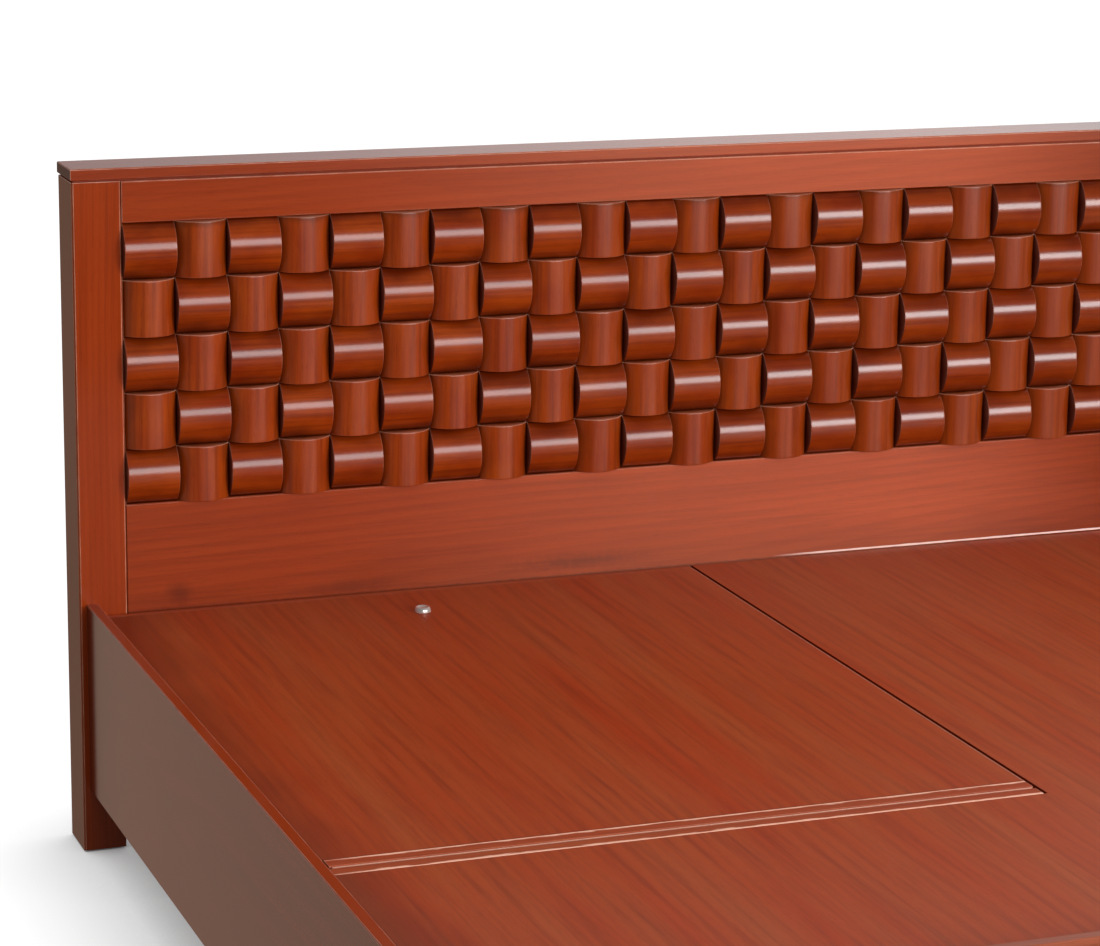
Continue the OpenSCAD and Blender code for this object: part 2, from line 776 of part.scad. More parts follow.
// A hinge leaf with every second knuckle; side is -1 for the deck's leaf and 1 for the lid's
module hinge_leaf(side, first) {
  neck = knuckle_r + 0.4;
  knuckle_l = knuckle_pitch - knuckle_gap;
  y_leaf = side < 0 ? y_hinge - knuckle_room : y_hinge + knuckle_room - leaf_t;
  difference() {
    union() {
      translate([x_hinge_left, y_leaf, z_pin - leaf_h])
        cube([hinge_l, leaf_t, leaf_h - neck]);
      for (k = [first:2:knuckles - 1]) {
        translate([knuckle_x(k) - knuckle_l / 2, y_leaf, z_pin - neck - eps])
          cube([knuckle_l, leaf_t, neck + eps]);
        translate([knuckle_x(k), y_hinge, z_pin]) rotate([0, 90, 0])
          cylinder(h = knuckle_l, r = knuckle_r, center = true, $fn = 32);
      }
    }
    translate([x_hinge_left - eps, y_hinge, z_pin]) rotate([0, 90, 0])
      cylinder(h = hinge_l + 2 * eps, r = pin_r + hole_play, $fn = 32);
  }
}

module hinge_leaf_deck() {
  color(steel) difference() {
    hinge_leaf(-1, 0);
    at_deck_leaf_screws() screw_hole(hinge_screw_l, hinge_screw_r);
  }
}

module hinge_leaf_lid() {
  color(steel) difference() {
    hinge_leaf(1, 1);
    at_lid_leaf_screws() screw_hole(hinge_screw_l, hinge_screw_r);
  }
}

module hinge_pin() {
  color(steel) translate([x_hinge_left, y_hinge, z_pin]) rotate([0, 90, 0])
    cylinder(h = hinge_l, r = pin_r, $fn = 32);
}

module hinge_screws_deck() {
  color(steel) at_deck_leaf_screws() screw(hinge_screw_l, hinge_screw_r);
}

module hinge_screws_lid() {
  color(steel) at_lid_leaf_screws() screw(hinge_screw_l, hinge_screw_r);
}

module lid_panel() {
  front = y_hinge + edging_w;
  rear = y_head - deck_gap - rear_edging_w;
  color(wood_deck) difference() {
    translate([x_lid_left, front, z_under]) cube([lid_w, rear - front, deck_t]);
    at_lid_batten_screws() screw_hole(lid_screw_l);
    translate([x_knob, y_knob, z_under - eps])
      cylinder(h = deck_t + 2 * eps, r = screw_r + 2 * hole_play, $fn = 32);
  }
}

module lid_edging_front() {
  color(wood) difference() {
    translate([x_lid_left + edging_notch, y_hinge + knuckle_room, z_under])
      board_x(lid_w - edging_notch, edging_w - knuckle_room, deck_t, arris);
    at_lid_leaf_screws() screw_hole(hinge_screw_l, hinge_screw_r);
  }
}

module lid_edging_rear() {
  color(wood) translate([x_lid_left, y_head - deck_gap - rear_edging_w, z_under])
    board_x(lid_w, rear_edging_w, deck_t, arris / 2);
}

module lid_battens() {
  color(pine) difference() {
    for (y = y_lid_battens)
      translate([x_lid_batten[0], y - lid_batten_w / 2, z_under - lid_batten_h])
        cube([x_lid_batten[1] - x_lid_batten[0], lid_batten_w, lid_batten_h]);
    at_lid_batten_screws() screw_hole(lid_screw_l);
  }
}

module lid_batten_screws() {
  color(steel) at_lid_batten_screws() screw(lid_screw_l);
}

// A low dished metal knob with a rounded side, a rolled rim and a screw hole from below
module lid_knob() {
  r = knob_d / 2;
  color(steel) translate([x_knob, y_knob, z_deck]) difference() {
    rotate_extrude($fn = 64) polygon([
      [0, 0], [r - 0.6, 0], [r, 0.8], [r - 0.1, 2.4], [r - 0.5, knob_h - 4.2],
      [r - 1.1, knob_h - 2.5], [r - 1.8, knob_h - 1.1], [r - 2.6, knob_h - 0.2],
      [r - 3.4, knob_h], [r - 4.2, knob_h - 0.5], [r - 5, knob_h - 1.7],
      [r - 6.8, knob_h - 2.4], [0, knob_h - 2.6]]);
    translate([0, 0, -eps]) cylinder(h = 4 + eps, r = screw_r + hole_play, $fn = 32);
  }
}

// The knob's machine screw, with its round head and washer under the lid
module knob_screw() {
  color(steel) translate([x_knob, y_knob, z_under]) union() {
    translate([0, 0, -1]) cylinder(h = 1, r = 7, $fn = 32);
    translate([0, 0, -1 - screw_r]) cylinder(h = screw_r, r1 = 1.2 * screw_r, r2 = 2 * screw_r, $fn = 32);
    cylinder(h = deck_t + 3.5, r = screw_r, $fn = 32);
  }
}

post(-1);  // post_left
post(1);  // post_right
head_cap();
cap_strip();
top_rail();
lower_rail();
head_apron();
weave_panel();
weave_row(0, true);  // weave_row_1_across
weave_row(0, false);  // weave_row_1_upright
weave_row(1, true);  // weave_row_2_across
weave_row(1, false);  // weave_row_2_upright
weave_row(2, true);  // weave_row_3_across
weave_row(2, false);  // weave_row_3_upright
weave_row(3, true);  // weave_row_4_across
weave_row(3, false);  // weave_row_4_upright
weave_row(4, true);  // weave_row_5_across
weave_row(4, false);  // weave_row_5_upright
back_skin();
back_skin_screws();
back_battens();
dowels();
side_rail(-1);  // side_rail_left
side_rail(1);  // side_rail_right
foot_rail();
foot_leg(-1);  // foot_leg_left
foot_leg(1);  // foot_leg_right
leg_screws();
centre_divider();
cross_rail(-1);  // cross_rail_left
cross_rail(1);  // cross_rail_right
side_cleats();
end_cleats();
divider_cleats();
cross_cleats();
cleat_screws();
storage_floor();
floor_cleats();
floor_screws();
bed_bracket(-1);  // bed_bracket_left
bed_bracket(1);  // bed_bracket_right
bracket_screws();
centre_legs();
glides();
deck_right();
deck_front_left();
deck_screws();
deck_edging();
hinge_leaf_deck();
hinge_leaf_lid();
hinge_pin();
hinge_screws_deck();
hinge_screws_lid();
lid_panel();
lid_edging_front();
lid_edging_rear();
lid_battens();
lid_batten_screws();
lid_knob();
knob_screw();
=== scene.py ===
import math
from collections import namedtuple
import bmesh
import bpy
from bpy.props import FloatProperty, FloatVectorProperty, IntProperty, PointerProperty
from mathutils import Matrix, Vector


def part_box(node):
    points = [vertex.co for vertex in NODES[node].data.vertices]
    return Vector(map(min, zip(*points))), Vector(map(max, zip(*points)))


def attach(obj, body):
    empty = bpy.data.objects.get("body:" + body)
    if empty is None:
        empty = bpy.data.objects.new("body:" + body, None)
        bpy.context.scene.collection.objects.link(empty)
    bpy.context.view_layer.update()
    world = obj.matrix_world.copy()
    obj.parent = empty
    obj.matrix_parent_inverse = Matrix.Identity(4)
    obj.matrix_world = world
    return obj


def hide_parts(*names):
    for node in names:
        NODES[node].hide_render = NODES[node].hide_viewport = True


bl_info = {
    "name": "Storage Bed",
    "version": (1, 0, 0),
    "blender": (4, 5, 0),
    "location": "View3D > Sidebar > Storage Bed",
    "description": "Dresses a lacquered storage bed with a woven-block headboard and a lift-up lid",
    "category": "Object",
}

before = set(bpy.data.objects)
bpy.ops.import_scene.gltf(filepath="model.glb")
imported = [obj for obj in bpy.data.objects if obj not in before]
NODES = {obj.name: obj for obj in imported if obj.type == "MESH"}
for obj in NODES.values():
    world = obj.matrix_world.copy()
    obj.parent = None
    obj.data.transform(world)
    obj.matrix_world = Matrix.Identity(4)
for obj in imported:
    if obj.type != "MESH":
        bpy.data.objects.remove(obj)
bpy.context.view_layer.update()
TOP_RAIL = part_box("top_rail")
LOWER_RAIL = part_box("lower_rail")
SIDE_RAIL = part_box("side_rail_left")
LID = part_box("lid_panel")
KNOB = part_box("lid_knob")
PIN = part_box("hinge_pin")
ROW_1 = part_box("weave_row_1_across")
ROW_2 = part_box("weave_row_2_upright")
PANEL_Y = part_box("weave_panel")[0][1]
HEAD_Y = TOP_RAIL[0][1]
DECK_Z = LID[1][2]
# The stub tenons at both ends of the top rail, which its box takes in
TENONS = 0.0236
COLUMNS = 23
# The knob's side, as steps inwards from its radius and heights above the deck
KNOB_SIDE = (
    (0.0006, 0.0), (0.0002, 0.0004), (0.0, 0.0009), (0.0, 0.0018), (0.0002, 0.0032))
# Its shoulder, rim and dish, as steps inwards and depths below its top
KNOB_TOP = (
    (0.0005, 0.0041), (0.0009, 0.0029), (0.0014, 0.0018), (0.0020, 0.0008), (0.0027, 0.0002),
    (0.0034, 0.0), (0.0041, 0.0004), (0.0048, 0.0014), (0.0060, 0.0022), (0.0090, 0.0026))
KNOB_DISH = 0.0026
# Where the photo was taken from, and how the camera was turned: yaw, pitch and roll in degrees
CAMERA_PLACE = (-2.2445, -4.3799, 1.9449)
CAMERA_TURN = (20.614, 13.474, 0.771)
# How the grain direction of a board is turned to X, so that one recipe serves all boards
TURN = {"X": (0, 0, 0), "Y": (0, 0, -math.pi / 2), "Z": (0, math.pi / 2, 0)}
# How far growth rings wander, in metres, and how much the pores darken the wood
SWAY = 0.012
PORES_SHOW = 0.35

# A knot or a spot of wild grain: its centre, its reach along each axis, its depth of colour and
# the scale of its ragged edge
Mark = namedtuple("Mark", "centre reach depth ragged")
# A darker band, in most places painted shade, on the cap a darker stain and on the lower rail also
# a dark joint line: an axis, the place where the band is darkest, the place where it ends, and its
# depth of colour
Band = namedtuple("Band", "axis darkest end depth")
# A band of painted light, a lighter colour where light falls: the places on X where it starts, is
# full, passes and ends, and its depth of colour
PaintedLight = namedtuple("PaintedLight", "start full past end depth")
# Faces set apart in a colour of their own: cut faces, which take more stain, faces that carry
# painted shade, and the rail tops, which carry painted light. An axis, the share of it in the
# normal at which a face counts as flat and as set apart, their colour, and the share of the lacquer
# that stays on them
Sawn = namedtuple("Sawn", "axis flat sawn colour lacquer")
# A ragged pale line: along the edgings lacquer chipped off, on the lower rail and the lid a painted
# highlight. Its colour, an axis, a place on it, the distances from that place at which all lacquer
# is there and none, and the place on X where the line begins
ChipsAndHighlights = namedtuple("ChipsAndHighlights", "colour axis place whole bare start")


def hex_colour(code):
    """A hex colour, as seen on the finished piece, as linear red, green and blue."""
    parts = [int(code[i:i + 2], 16) / 255 for i in (1, 3, 5)]
    return tuple(c / 12.92 if c <= 0.04045 else ((c + 0.055) / 1.055) ** 2.4 for c in parts)


def colour_property(name, description, code):
    return FloatVectorProperty(
        name=name, description=description, subtype="COLOR", size=3, min=0, max=1,
        default=hex_colour(code))


def length_property(name, description, metres, low=0.0, high=5.0):
    return FloatProperty(
        name=name, description=description, default=metres, min=low, max=high,
        unit="LENGTH", subtype="DISTANCE")


class BedWeave(bpy.types.PropertyGroup):
    columns: IntProperty(
        name="Columns", description="Block columns", default=COLUMNS, min=1, max=60)
    rows: IntProperty(name="Rows", description="Block rows", default=5, min=1, max=20)
    cell_width: length_property(
        "Cell width", "Width of one block cell",
        (TOP_RAIL[1][0] - TOP_RAIL[0][0] - TENONS) / COLUMNS)
    cell_height: length_property(
        "Cell height", "Height of one block cell",
        (ROW_1[0][2] + ROW_1[1][2] - ROW_2[0][2] - ROW_2[1][2]) / 2)
    gap: length_property("Gap", "Gap between neighbouring blocks", 0.0006)
    rise: length_property("Crown", "How far the crown stands above the straight edge", 0.024)
    edge: length_property("Edge", "Straight edge between the crown and the panel", 0.004)
    arris: length_property("Arris", "Radius sanded on the end of a crown", 0.0011)
    tilt: FloatProperty(
        name="Tilt", description="How much the blocks differ from each other in seating",
        default=math.radians(0.7), min=0, max=0.05, unit="ROTATION", subtype="ANGLE")
    seed: IntProperty(name="Seed", description="Seed of the small differences", default=7, min=0)


class BedFinish(bpy.types.PropertyGroup):
    front: colour_property("Front wood", "Stained wood of the headboard", "#963409")
    front_dark: colour_property("Front wood, dark", "Dark grain of the headboard", "#661a04")
    front_light: colour_property("Front wood, light", "Light grain of the headboard", "#a43e12")
    block: colour_property("Blocks", "Stained wood of the woven blocks", "#8d2d04")
    block_dark: colour_property("Blocks, dark", "Dark grain of the woven blocks", "#4e0e03")
    block_light: colour_property("Blocks, light", "Light grain of the woven blocks", "#a8440c")
    side: colour_property("Side rails", "Stained wood of the side rails", "#8e3010")
    side_dark: colour_property("Side rails, dark", "Dark grain of the side rails", "#4a1508")
    side_light: colour_property("Side rails, light", "Light grain of the side rails", "#86371b")
    deck: colour_property("Deck", "Stained veneer of the deck and the lid", "#ab390a")
    deck_dark: colour_property("Deck, dark", "Dark grain of the deck", "#661805")
    deck_light: colour_property("Deck, light", "Light streaks of the deck", "#aa4a1e")
    # The foot rail's colours hold a painted sheen, lighter and pinker than the side rails'
    foot: colour_property("Foot rail", "Stained wood of the foot rail", "#97492f")
    foot_dark: colour_property("Foot rail, dark", "Dark grain of the foot rail", "#642814")
    foot_light: colour_property("Foot rail, light", "Light grain of the foot rail", "#a65c42")
    # Painted shade on the end faces of the blocks
    shaded_block_ends: colour_property("Block ends", "End grain of the blocks", "#4a0c03")
    # Painted shade on the sides of the posts
    shaded_post_sides: colour_property("Post sides", "Sides of the posts", "#74381a")
    # End grain of the cap, darkened further as painted shade
    cap_end: colour_property("Cap ends", "End grain of the cap", "#2c120a")
    # Tops of the side rails, set apart from the sides as painted light
    rail_top: colour_property("Rail tops", "Top edges of the side rails", "#98360f")
    # Cut edges, darker by more stain and by painted shade in the seams
    deck_edge: colour_property("Deck edges", "Cut edges of the deck and the lid", "#5e170a")
    inner: colour_property("Inner wood", "Bare softwood inside the box", "#c9a57c")
    # Painted highlight: a light colour along the arrises, standing for light caught there
    painted_arris_highlight: colour_property("Worn arris", "Lacquer rubbed thin along an arris", "#efb498")
    chipped: colour_property("Chipped arris", "Bare ground beside the hinge", "#ffc3a8")
    # Painted highlight in a thin line on the lower rail, just above the deck
    rail_highlight: colour_property("Chipped rail", "Bare ground above the deck", "#f4cfc4")
    # Painted highlight along the lid's free arris
    lid_edge_highlight: colour_property("Lid edge", "Thin lacquer on the lid's free edge", "#b8735c")
    steel: colour_property("Plated steel", "Zinc-plated screws", "#8f8d8b")
    bracket: colour_property("Painted steel", "Black-painted bed brackets", "#2b2724")
    glide: colour_property("Nylon", "Black nylon glides", "#1d1c1b")
    # Its pale pink colour holds a painted highlight
    hinge: colour_property("Hinge", "Nickel-plated steel hinge", "#f0ae96")
    knob: colour_property("Polished steel", "Polished knob", "#fbf0ea")


class BedStage(bpy.types.PropertyGroup):
    lens: FloatProperty(
        name="Lens", description="Focal length", default=109.49, min=10, max=500,
        unit="CAMERA", subtype="DISTANCE_CAMERA")
    front_box: FloatProperty(
        name="Soft box", description="Power of the soft box before the foot", default=385, min=0)
    far_box: FloatProperty(
        name="Second box", description="Power of the soft box further right", default=115, min=0)
    right_box: FloatProperty(
        name="Right lamp", description="Power of the lamp on the right", default=1.5, min=0)
    top: FloatProperty(name="Top light", description="Light from above", default=0.8, min=0)
    left: FloatProperty(name="Left light", description="Light from the left", default=0.28, min=0)
    fill: FloatProperty(name="Fill light", description="Light from all sides", default=0.05, min=0)
    floor_size: length_property("Floor", "Side of the floor", 120.0, 10, 500)


def add(tree, kind, values=None, **settings):
    """Adds a node, sets its settings, and sets or links its inputs."""
    made = tree.nodes.new(kind)
    for key, value in settings.items():
        setattr(made, key, value)
    for key, value in (values or {}).items():
        if isinstance(value, bpy.types.Node):
            value = value.outputs[0]
        if isinstance(value, bpy.types.NodeSocket):
            tree.links.new(value, made.inputs[key])
        else:
            made.inputs[key].default_value = value
    return made


def blank_material(name):
    material = bpy.data.materials.new(name)
    material.use_nodes = True
    material.node_tree.nodes.clear()
    return material, material.node_tree


def wood_figure(tree, place, grain, base, dark, light, pith, ring, rings_show, streaks, fine,
                patch):
    """Slow changes of tone, growth rings, streaks and pores.

    Returns the colour and the masks of the streaks and the pores.
    """
    along = add(tree, "ShaderNodeMapping", {
        "Vector": place.outputs["Object"], "Rotation": TURN[grain]})
    # The rings wander by a few millimetres over a metre, the streaks by less
    slow = add(tree, "ShaderNodeMapping", {"Vector": along, "Scale": (0.9, 5, 5)})
    wander = add(tree, "ShaderNodeTexNoise", {"Vector": slow, "Scale": 1.0, "Detail": 0.0})
    centred = add(tree, "ShaderNodeVectorMath", {0: wander.outputs[1], 1: (0.5, 0.5, 0.5)},
                  operation="SUBTRACT")
    shift = add(tree, "ShaderNodeVectorMath", {0: centred, 1: (0, 4 * SWAY, 4 * SWAY)},
                operation="MULTIPLY")
    bent = add(tree, "ShaderNodeVectorMath", {0: along, 1: shift}, operation="ADD")
    slight = add(tree, "ShaderNodeVectorMath", {0: shift, 1: (0, 0.3, 0.3)}, operation="MULTIPLY")
    straight = add(tree, "ShaderNodeVectorMath", {0: along, 1: slight}, operation="ADD")
    # Growth rings round a heart that lies outside the board and leans a little
    lean = add(tree, "ShaderNodeMapping", {
        "Vector": bent, "Location": (0, pith[0], pith[1]), "Rotation": (0, 0.02, 0.035)})
    flat = add(tree, "ShaderNodeVectorMath", {0: lean, 1: (0, 1, 1)}, operation="MULTIPLY")
    radius = add(tree, "ShaderNodeVectorMath", {0: flat}, operation="LENGTH")
    turns = add(tree, "ShaderNodeMath", {0: radius.outputs["Value"], 1: 1 / ring},
                operation="MULTIPLY")
    phase = add(tree, "ShaderNodeMath", {0: turns}, operation="FRACT")
    late = add(tree, "ShaderNodeMapRange", {"Value": phase, 1: 0.2, 2: 0.9},
               interpolation_type="SMOOTHSTEP")
    early = add(tree, "ShaderNodeMapRange", {"Value": phase, 1: 1.0, 2: 0.9})
    rings = add(tree, "ShaderNodeMath", {0: late, 1: early}, operation="MULTIPLY")
    # Slow changes of tone, 60 mm wide and up to a metre long
    wide = add(tree, "ShaderNodeMapping", {"Vector": bent, "Scale": (patch, 16, 16)})
    tone = add(tree, "ShaderNodeTexNoise", {
        "Vector": wide, "Scale": 1.0, "Detail": 3.0, "Roughness": 0.5})
    tone_soft = add(tree, "ShaderNodeMapRange", {"Value": tone.outputs[0], 1: 0.3, 2: 0.7})
    # Streaks a few millimetres wide and 300 mm long
    thin = add(tree, "ShaderNodeMapping", {"Vector": straight, "Scale": (3.2, fine, fine)})
    streak = add(tree, "ShaderNodeTexNoise", {
        "Vector": thin, "Scale": 1.0, "Detail": 3.0, "Roughness": 0.6})
    streak_soft = add(tree, "ShaderNodeMapRange", {"Value": streak.outputs[0], 1: 0.46, 2: 0.76})
    # Open pores, 0.8 mm wide and 25 mm long, drawn a little coarser than real ones
    pore_map = add(tree, "ShaderNodeMapping", {"Vector": straight, "Scale": (40, 1150, 1150)})
    pore = add(tree, "ShaderNodeTexNoise", {"Vector": pore_map, "Scale": 1.0, "Detail": 1.0})
    pores = add(tree, "ShaderNodeMapRange", {"Value": pore.outputs[0], 1: 0.6, 2: 0.74})
    colour = add(tree, "ShaderNodeMix", {0: tone_soft, 6: (*base, 1), 7: (*light, 1)},
                 data_type="RGBA").outputs[2]
    for mask, amount in ((rings, rings_show), (streak_soft, streaks), (pores, PORES_SHOW)):
        share = add(tree, "ShaderNodeMath", {0: mask, 1: amount}, operation="MULTIPLY")
        colour = add(tree, "ShaderNodeMix", {0: share, 6: colour, 7: (*dark, 1)},
                     data_type="RGBA").outputs[2]
    return colour, streak_soft, pores


def marked(tree, place, colour, dark, mark):
    """Adds a dark, cloudy knot or spot of wild grain."""
    away = add(tree, "ShaderNodeMapping", {
        "Vector": place.outputs["Object"],
        "Location": tuple(-c / r for c, r in zip(mark.centre, mark.reach)),
        "Scale": tuple(1 / r for r in mark.reach)})
    rough = add(tree, "ShaderNodeTexNoise", {
        "Vector": place.outputs["Object"], "Scale": mark.ragged, "Detail": 6.0, "Roughness": 0.7})
    spread = add(tree, "ShaderNodeVectorMath", {0: away}, operation="LENGTH")
    ragged = add(tree, "ShaderNodeMath", {0: spread.outputs["Value"], 1: rough.outputs[0]},
                 operation="ADD")
    cloud = add(tree, "ShaderNodeMapRange", {"Value": ragged, 1: 1.45, 2: 0.5, 4: mark.depth},
                interpolation_type="SMOOTHSTEP")
    darker = (*(0.32 * c for c in dark), 1)
    return add(tree, "ShaderNodeMix", {0: cloud, 6: colour, 7: darker}, data_type="RGBA").outputs[2]


def shaded(tree, place, spot, colour, base, band):
    """Adds a cloudy darker band, in most places painted shade."""
    width = band.end - band.darkest
    cloudy = add(tree, "ShaderNodeTexNoise", {
        "Vector": place.outputs["Object"], "Scale": 0.3 / abs(width), "Detail": 2.0})
    centred = add(tree, "ShaderNodeMath", {0: cloudy.outputs[0], 1: 0.5}, operation="SUBTRACT")
    edge = add(tree, "ShaderNodeMath", {
        0: centred, 1: 1.4 * width, 2: spot.outputs[band.axis]},
        operation="MULTIPLY_ADD")
    share = add(tree, "ShaderNodeMapRange", {
        "Value": edge, 1: band.darkest, 2: band.end, 3: band.depth, 4: 0.0},
        interpolation_type="SMOOTHSTEP")
    darker = (*(0.36 * c for c in base), 1)
    return add(tree, "ShaderNodeMix", {0: share, 6: colour, 7: darker}, data_type="RGBA").outputs[2]


def painted_light_band(tree, spot, colour, pale, band):
    """Paints a band of light along X."""
    rise = add(tree, "ShaderNodeMapRange", {
        "Value": spot.outputs["X"], 1: band.start, 2: band.full, 4: band.depth},
        interpolation_type="SMOOTHSTEP")
    fall = add(tree, "ShaderNodeMapRange", {"Value": spot.outputs["X"], 1: band.end, 2: band.past},
               interpolation_type="SMOOTHSTEP")
    share = add(tree, "ShaderNodeMath", {0: rise, 1: fall}, operation="MULTIPLY")
    return add(tree, "ShaderNodeMix", {0: share, 6: colour, 7: (*pale, 1)},
               data_type="RGBA").outputs[2]


def rubbed(tree, place, colour, soft_edge, painted_arris_highlight, arris, highlit_along):
    """Paints a highlight along the arrises, in a light colour."""
    surface = add(tree, "ShaderNodeNewGeometry")
    facing = add(tree, "ShaderNodeVectorMath", {0: soft_edge, 1: surface.outputs["True Normal"]},
                 operation="DOT_PRODUCT")
    highlight_share = add(tree, "ShaderNodeMapRange", {
        "Value": facing.outputs["Value"], 1: 0.995, 2: 0.93, 4: arris})
    # An arris that faces down catches no light and gets no painted highlight
    own = add(tree, "ShaderNodeVectorTransform", {0: soft_edge}, vector_type="NORMAL",
              convert_from="WORLD", convert_to="OBJECT")
    turned = add(tree, "ShaderNodeSeparateXYZ", {0: own})
    above = add(tree, "ShaderNodeMapRange", {"Value": turned.outputs["Z"], 1: -0.4, 2: -0.1})
    highlight_share = add(tree, "ShaderNodeMath", {0: highlight_share, 1: above}, operation="MULTIPLY")
    if highlit_along is not None:
        level = add(tree, "ShaderNodeMath", {0: turned.outputs[highlit_along]}, operation="ABSOLUTE")
        faces = add(tree, "ShaderNodeMapRange", {"Value": level, 1: 0.1, 2: 0.3})
        highlight_share = add(tree, "ShaderNodeMath", {0: highlight_share, 1: faces}, operation="MULTIPLY")
    flakes = add(tree, "ShaderNodeTexNoise", {
        "Vector": place.outputs["Object"], "Scale": 24.0, "Detail": 3.0})
    uneven = add(tree, "ShaderNodeMapRange", {"Value": flakes.outputs[0], 1: 0.3, 2: 0.6, 3: 0.45})
    share = add(tree, "ShaderNodeMath", {0: highlight_share, 1: uneven}, operation="MULTIPLY")
    return add(tree, "ShaderNodeMix", {0: share, 6: colour, 7: (*painted_arris_highlight, 1)},
               data_type="RGBA").outputs[2]


def chipped(tree, place, spot, colour, chips_and_highlights):
    """Adds a ragged pale line: chipped lacquer on the edgings, a painted highlight elsewhere."""
    step = chips_and_highlights.bare - chips_and_highlights.whole
    aside = add(tree, "ShaderNodeMath", {0: spot.outputs[chips_and_highlights.axis], 1: chips_and_highlights.place},
                operation="SUBTRACT")
    reach = add(tree, "ShaderNodeMath", {0: aside}, operation="ABSOLUTE")
    flake_map = add(tree, "ShaderNodeMapping", {
        "Vector": place.outputs["Object"], "Scale": (22, 110, 110)})
    flakes = add(tree, "ShaderNodeTexNoise", {
        "Vector": flake_map, "Scale": 1.0, "Detail": 4.0, "Roughness": 0.6})
    ragged = add(tree, "ShaderNodeMath", {0: flakes.outputs[0], 1: 2.2 * step, 2: reach},
                 operation="MULTIPLY_ADD")
    ground = add(tree, "ShaderNodeMapRange", {
        "Value": ragged, 1: chips_and_highlights.whole + 1.1 * step, 2: chips_and_highlights.whole + 1.5 * step, 4: 0.95})
    begun = add(tree, "ShaderNodeMapRange", {
        "Value": spot.outputs["X"], 1: chips_and_highlights.start, 2: chips_and_highlights.start + 0.1})
    share = add(tree, "ShaderNodeMath", {0: ground, 1: begun}, operation="MULTIPLY")
    return add(tree, "ShaderNodeMix", {0: share, 6: colour, 7: (*chips_and_highlights.colour, 1)},
               data_type="RGBA").outputs[2]


def stained_wood(name, grain, base, dark, light, pith=(0.35, 0.2), ring=0.011, rings_show=0.15,
                 streaks=0.3, fine=170, patch=1.1, gloss=0.16, coat=1.0, painted_arris_highlight=None, arris=0.7,
                 ease=0.0016, highlit_along=None, marks=(), bands=(), painted_light=None, sawn=None,
                 chips_and_highlights=None):
    """Close-grained hardwood, planed and sanded, stained red and sprayed with lacquer.

    The stain leaves slow changes from light to dark, growth rings a centimetre apart, darker
    streaks a few millimetres wide and open pores. The lacquer gives a soft, even gloss.

    pith is the place of the tree's heart across the grain and ring the width of a growth ring.
    rings_show and streaks are how much the two darken the wood, fine is how many streaks lie in
    a metre across the grain and patch how often the tone changes in a metre along it. gloss is
    the roughness of the lacquer and coat its strength. painted_arris_highlight is the colour of
    the painted highlight along the arrises, arris how strong it is, and ease their radius. With
    highlit_along only the arrises that face along that axis get it.
    """
    material, tree = blank_material(name)
    place = add(tree, "ShaderNodeTexCoord")
    colour, streak_mask, pores = wood_figure(
        tree, place, grain, base, dark, light, pith, ring, rings_show, streaks, fine, patch)
    for mark in marks:
        colour = marked(tree, place, colour, dark, mark)
    spot = add(tree, "ShaderNodeSeparateXYZ", {0: place.outputs["Object"]})
    for band in bands:
        colour = shaded(tree, place, spot, colour, base, band)
    if painted_light is not None:
        colour = painted_light_band(tree, spot, colour, painted_arris_highlight, painted_light)
    film_share = coat
    # Faces set apart get a colour and a share of lacquer of their own: cut faces more stain, the
    # others painted shade and painted light
    if sawn is not None:
        turned = add(tree, "ShaderNodeSeparateXYZ", {0: place.outputs["Normal"]})
        level = add(tree, "ShaderNodeMath", {0: turned.outputs[sawn.axis]}, operation="ABSOLUTE")
        share = add(tree, "ShaderNodeMapRange", {"Value": level, 1: sawn.flat, 2: sawn.sawn})
        most = add(tree, "ShaderNodeMath", {0: share, 1: 0.85}, operation="MULTIPLY")
        colour = add(tree, "ShaderNodeMix", {0: most, 6: colour, 7: (*sawn.colour, 1)},
                     data_type="RGBA").outputs[2]
        film_share = add(tree, "ShaderNodeMapRange", {
            "Value": share, 3: coat, 4: coat * sawn.lacquer})
    soft_edge = add(tree, "ShaderNodeBevel", {"Radius": ease}, samples=6)
    if painted_arris_highlight is not None:
        colour = rubbed(tree, place, colour, soft_edge, painted_arris_highlight, arris, highlit_along)
    if chips_and_highlights is not None:
        colour = chipped(tree, place, spot, colour, chips_and_highlights)
    # The lacquer follows the pores by a few hundredths of a millimetre
    relief = add(tree, "ShaderNodeMath", {0: streak_mask, 1: pores}, operation="ADD")
    grain_bump = add(tree, "ShaderNodeBump", {
        "Height": relief, "Distance": 0.00005, "Strength": 0.4, "Normal": soft_edge})
    # The sprayed film lies in waves about 20 mm apart
    film = add(tree, "ShaderNodeTexNoise", {
        "Vector": place.outputs["Object"], "Scale": 26.0, "Detail": 1.0})
    film_bump = add(tree, "ShaderNodeBump", {
        "Height": film.outputs[0], "Distance": 0.00003, "Strength": 0.6, "Normal": soft_edge})
    skin = add(tree, "ShaderNodeBsdfPrincipled", {
        "Base Color": colour, "Roughness": 0.6, "Normal": grain_bump, "Specular IOR Level": 0.012,
        "Coat Weight": film_share, "Coat Roughness": gloss, "Coat IOR": 1.5,
        "Coat Normal": film_bump})
    add(tree, "ShaderNodeOutputMaterial", {"Surface": skin})
    return material


